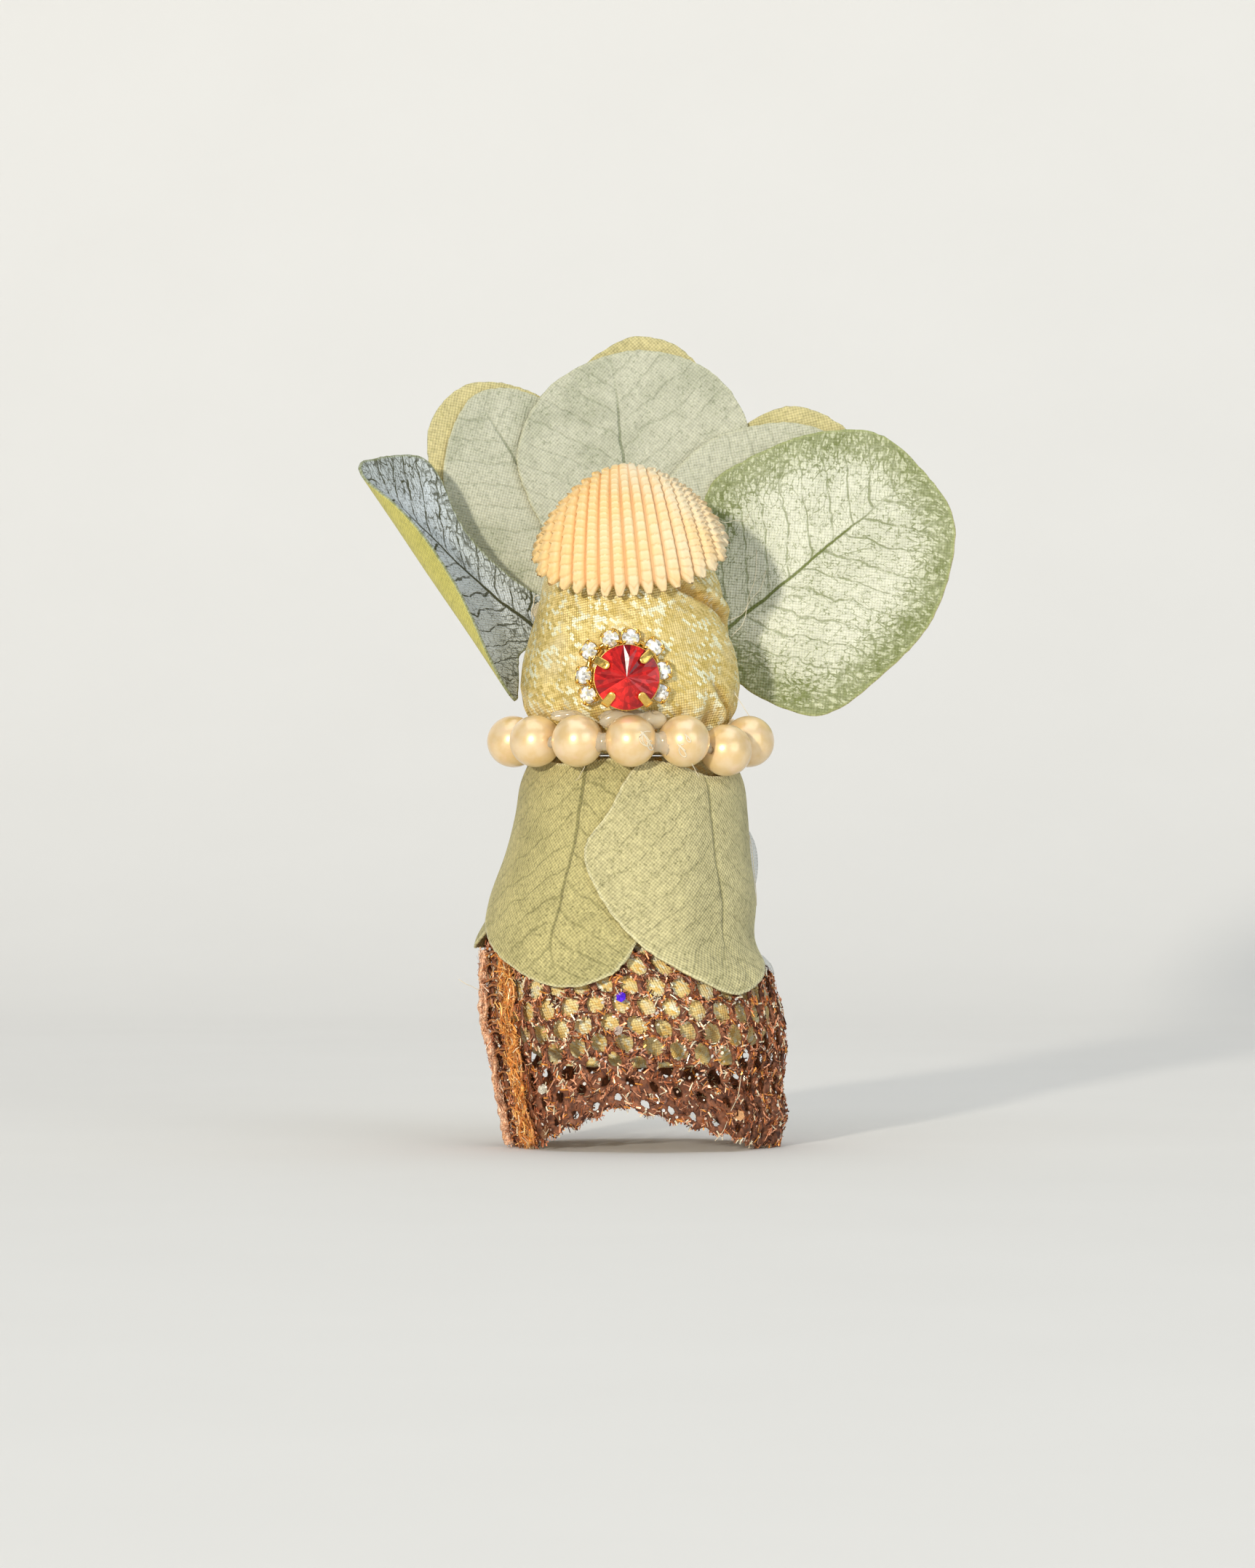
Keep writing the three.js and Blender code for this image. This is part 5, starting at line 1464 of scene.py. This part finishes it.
def shell_hat():
    """Ribbed cockle valve: round ribs with narrow grooves, scored by scales, and a toothed edge."""
    rows, inner_rows, columns = 130, 24, 720
    angle = turns(columns)[None, :]
    skew = 1 + SHELL_SKEW * np.cos(angle)
    front = (1 + np.cos(angle)) / 2

    def local(inset, share):
        """Across, ahead of the middle and up of the plain dome."""
        edge_across = (SHELL_HALF_WIDTH - inset) * np.sin(angle) * skew
        edge_ahead = SHELL_HALF_LENGTH + (SHELL_HALF_LENGTH - inset) * np.cos(angle)
        inward = np.minimum(share, 1)
        dome = 0.7 * np.sqrt(np.maximum(1 - inward**2, 0)) + 0.3 * (1 - inward)
        up = (UMBO_HEIGHT - inset * 1.2) * dome + SHELL_BULGE * np.sin(math.pi * inward) * front
        umbo = UMBO_AHEAD + inset
        return edge_across * share, umbo + (edge_ahead - umbo) * share - SHELL_HALF_LENGTH, up

    share = (np.linspace(0.02, 1, rows) ** 0.8)[:, None]
    across, ahead, up = local(0.0, share)
    spoke = np.arctan2(across, ahead + SHELL_HALF_LENGTH + RIB_ORIGIN) / RIB_ANGLE
    number = np.round(spoke)
    ridge = 1 - 2 * ((1 - np.cos(TURN * spoke)) / 2) ** 4.5
    point = 1 - 4 * np.abs(spoke - number)
    jitter = np.sin(number * 12.9898) * 43.758
    run = ahead + 0.9 * (UMBO_HEIGHT - up) - 2.4 * (spoke - number) ** 2
    saw = (run / (SCALE_PITCH * (1.15 + 0.3 * np.sin(number * 7.1))) + jitter) % 1.0
    scale = saw**1.5
    flank = SCALE_DEPTH * (0.5 + 1.6 * np.abs(np.sin(angle)) ** 3)
    relief = RIB_DEPTH * ridge + flank * scale * smoothstep(ridge, -0.2, 0.8)
    rib = 1 + relief * smoothstep(share, 0.05, 0.4) / SHELL_HALF_WIDTH
    tooth = share * (1 + 0.02 * point * smoothstep(share, 0.93, 1.0) * front)
    across, ahead, up = local(0.0, tooth)
    outside = shell_place(across * rib, SHELL_HALF_LENGTH + ahead * rib, up * rib)
    across, ahead, up = local(SHELL_WALL, np.linspace(1, 0.02, inner_rows)[:, None])
    inside = shell_place(across, SHELL_HALF_LENGTH + ahead, up)
    paint = np.zeros((rows + inner_rows, columns, 3))
    paint[:rows, :, 0] = (ridge + 1) / 2
    paint[:rows, :, 1] = scale
    paint[:rows, :, 2] = np.clip((0.5 + 0.5 * np.sin(angle)) * 1.1 - 0.05, 0, 1)
    paint[rows:] = (0.75, 0.0, 0.6)
    faces = capped(rows + inner_rows, columns, inward=True)
    make("shell_hat_ribbed", np.vstack([outside, inside]), faces, [SHELL], "shell", "shell_hat",
         paint=paint.reshape(-1, 3))


def carried_over():
    """Glue that is nearly hidden: two pads keep their shape, the one at the curled leaf is a small lump."""
    low, high = (np.array(corner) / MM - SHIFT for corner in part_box("fan_left_glue"))
    size = high - low
    points, faces = lump((low + high) / 2 + size * np.array([0.1, 0.15, 0]), size * 0.34, 0.1, 0.8)
    make("fan_left_glue_lump", points, faces, [GLUE], "hot_glue", "fan_left_glue")
    for name in ("shell_glue", "fan_glue"):
        materials = frame["nodes"][name].data.materials
        materials.clear()
        materials.append(GLUE)


def point_at(holder, at, aim):
    back = unit(at - aim)
    side = unit(np.cross([0, 0, 1], back))
    matrix = np.eye(4)
    matrix[:3] = np.stack([side, np.cross(back, side), back, at], axis=-1)
    holder.matrix_world = Matrix(matrix.tolist())


def studio():
    """Pale sweep, a key lamp from the upper left, a soft fill and the camera."""
    p = Paint("sweep", roughness=0.9, specular_ior_level=0.1)
    p.set(base_color=p.mix(p.noise(p.place(), 0.02, 3.0), (0.82, 0.79, 0.75), (0.85, 0.82, 0.78)))
    bend, edge, half_width = 0.5, 0.45, 2.5
    profile = [(-1.5, 0.0), (edge, 0.0)]
    curve = np.linspace(0.1, math.pi / 2, 14)
    profile += [(edge + bend * math.sin(t), bend - bend * math.cos(t)) for t in curve]
    profile += [(edge + bend, 2.2)]
    points = [(x, y, z) for y, z in profile for x in (-half_width, half_width)]
    mesh = bpy.data.meshes.new("sweep")
    mesh.from_pydata(points, [], [(2 * i, 2 * i + 1, 2 * i + 3, 2 * i + 2) for i in range(len(profile) - 1)])
    mesh.polygons.foreach_set("use_smooth", [True] * len(mesh.polygons))
    mesh.materials.append(p.material)
    link("sweep", mesh)

    for name, at, size, power, colour in LAMPS:
        lamp = bpy.data.lights.new(name, "AREA")
        lamp.size = size
        lamp.energy = power
        lamp.color = colour
        point_at(link(name, lamp), np.array(at), LAMP_AIM)

    world = bpy.data.worlds.new("room")
    world.use_nodes = True
    background = world.node_tree.nodes["Background"]
    background.inputs[0].default_value = ROOM_LIGHT
    background.inputs[1].default_value = ROOM_STRENGTH
    bpy.context.scene.world = world

    camera = bpy.data.cameras.new("camera")
    camera.sensor_width = SENSOR
    camera.lens = SENSOR * CAMERA_DISTANCE / CAMERA_FIELD
    camera.clip_start = 0.01
    holder = link("camera", camera)
    aim = SHIFT * MM + np.array([0, 0, CAMERA_HEIGHT])
    point_at(holder, aim - np.array([0, CAMERA_DISTANCE, 0]), aim)
    bpy.context.scene.camera = holder


studio()
stuffed_body()
lining_cloth()
net_skirt()
dress_leaves()
stuffed_head()
pearls()
glue()
setting()
red_stone()
cup_chain()
chips()
shell_hat()
curled_leaf()
fan_leaves()
carried_over()

bpy.context.scene.view_settings.view_transform = "Standard"
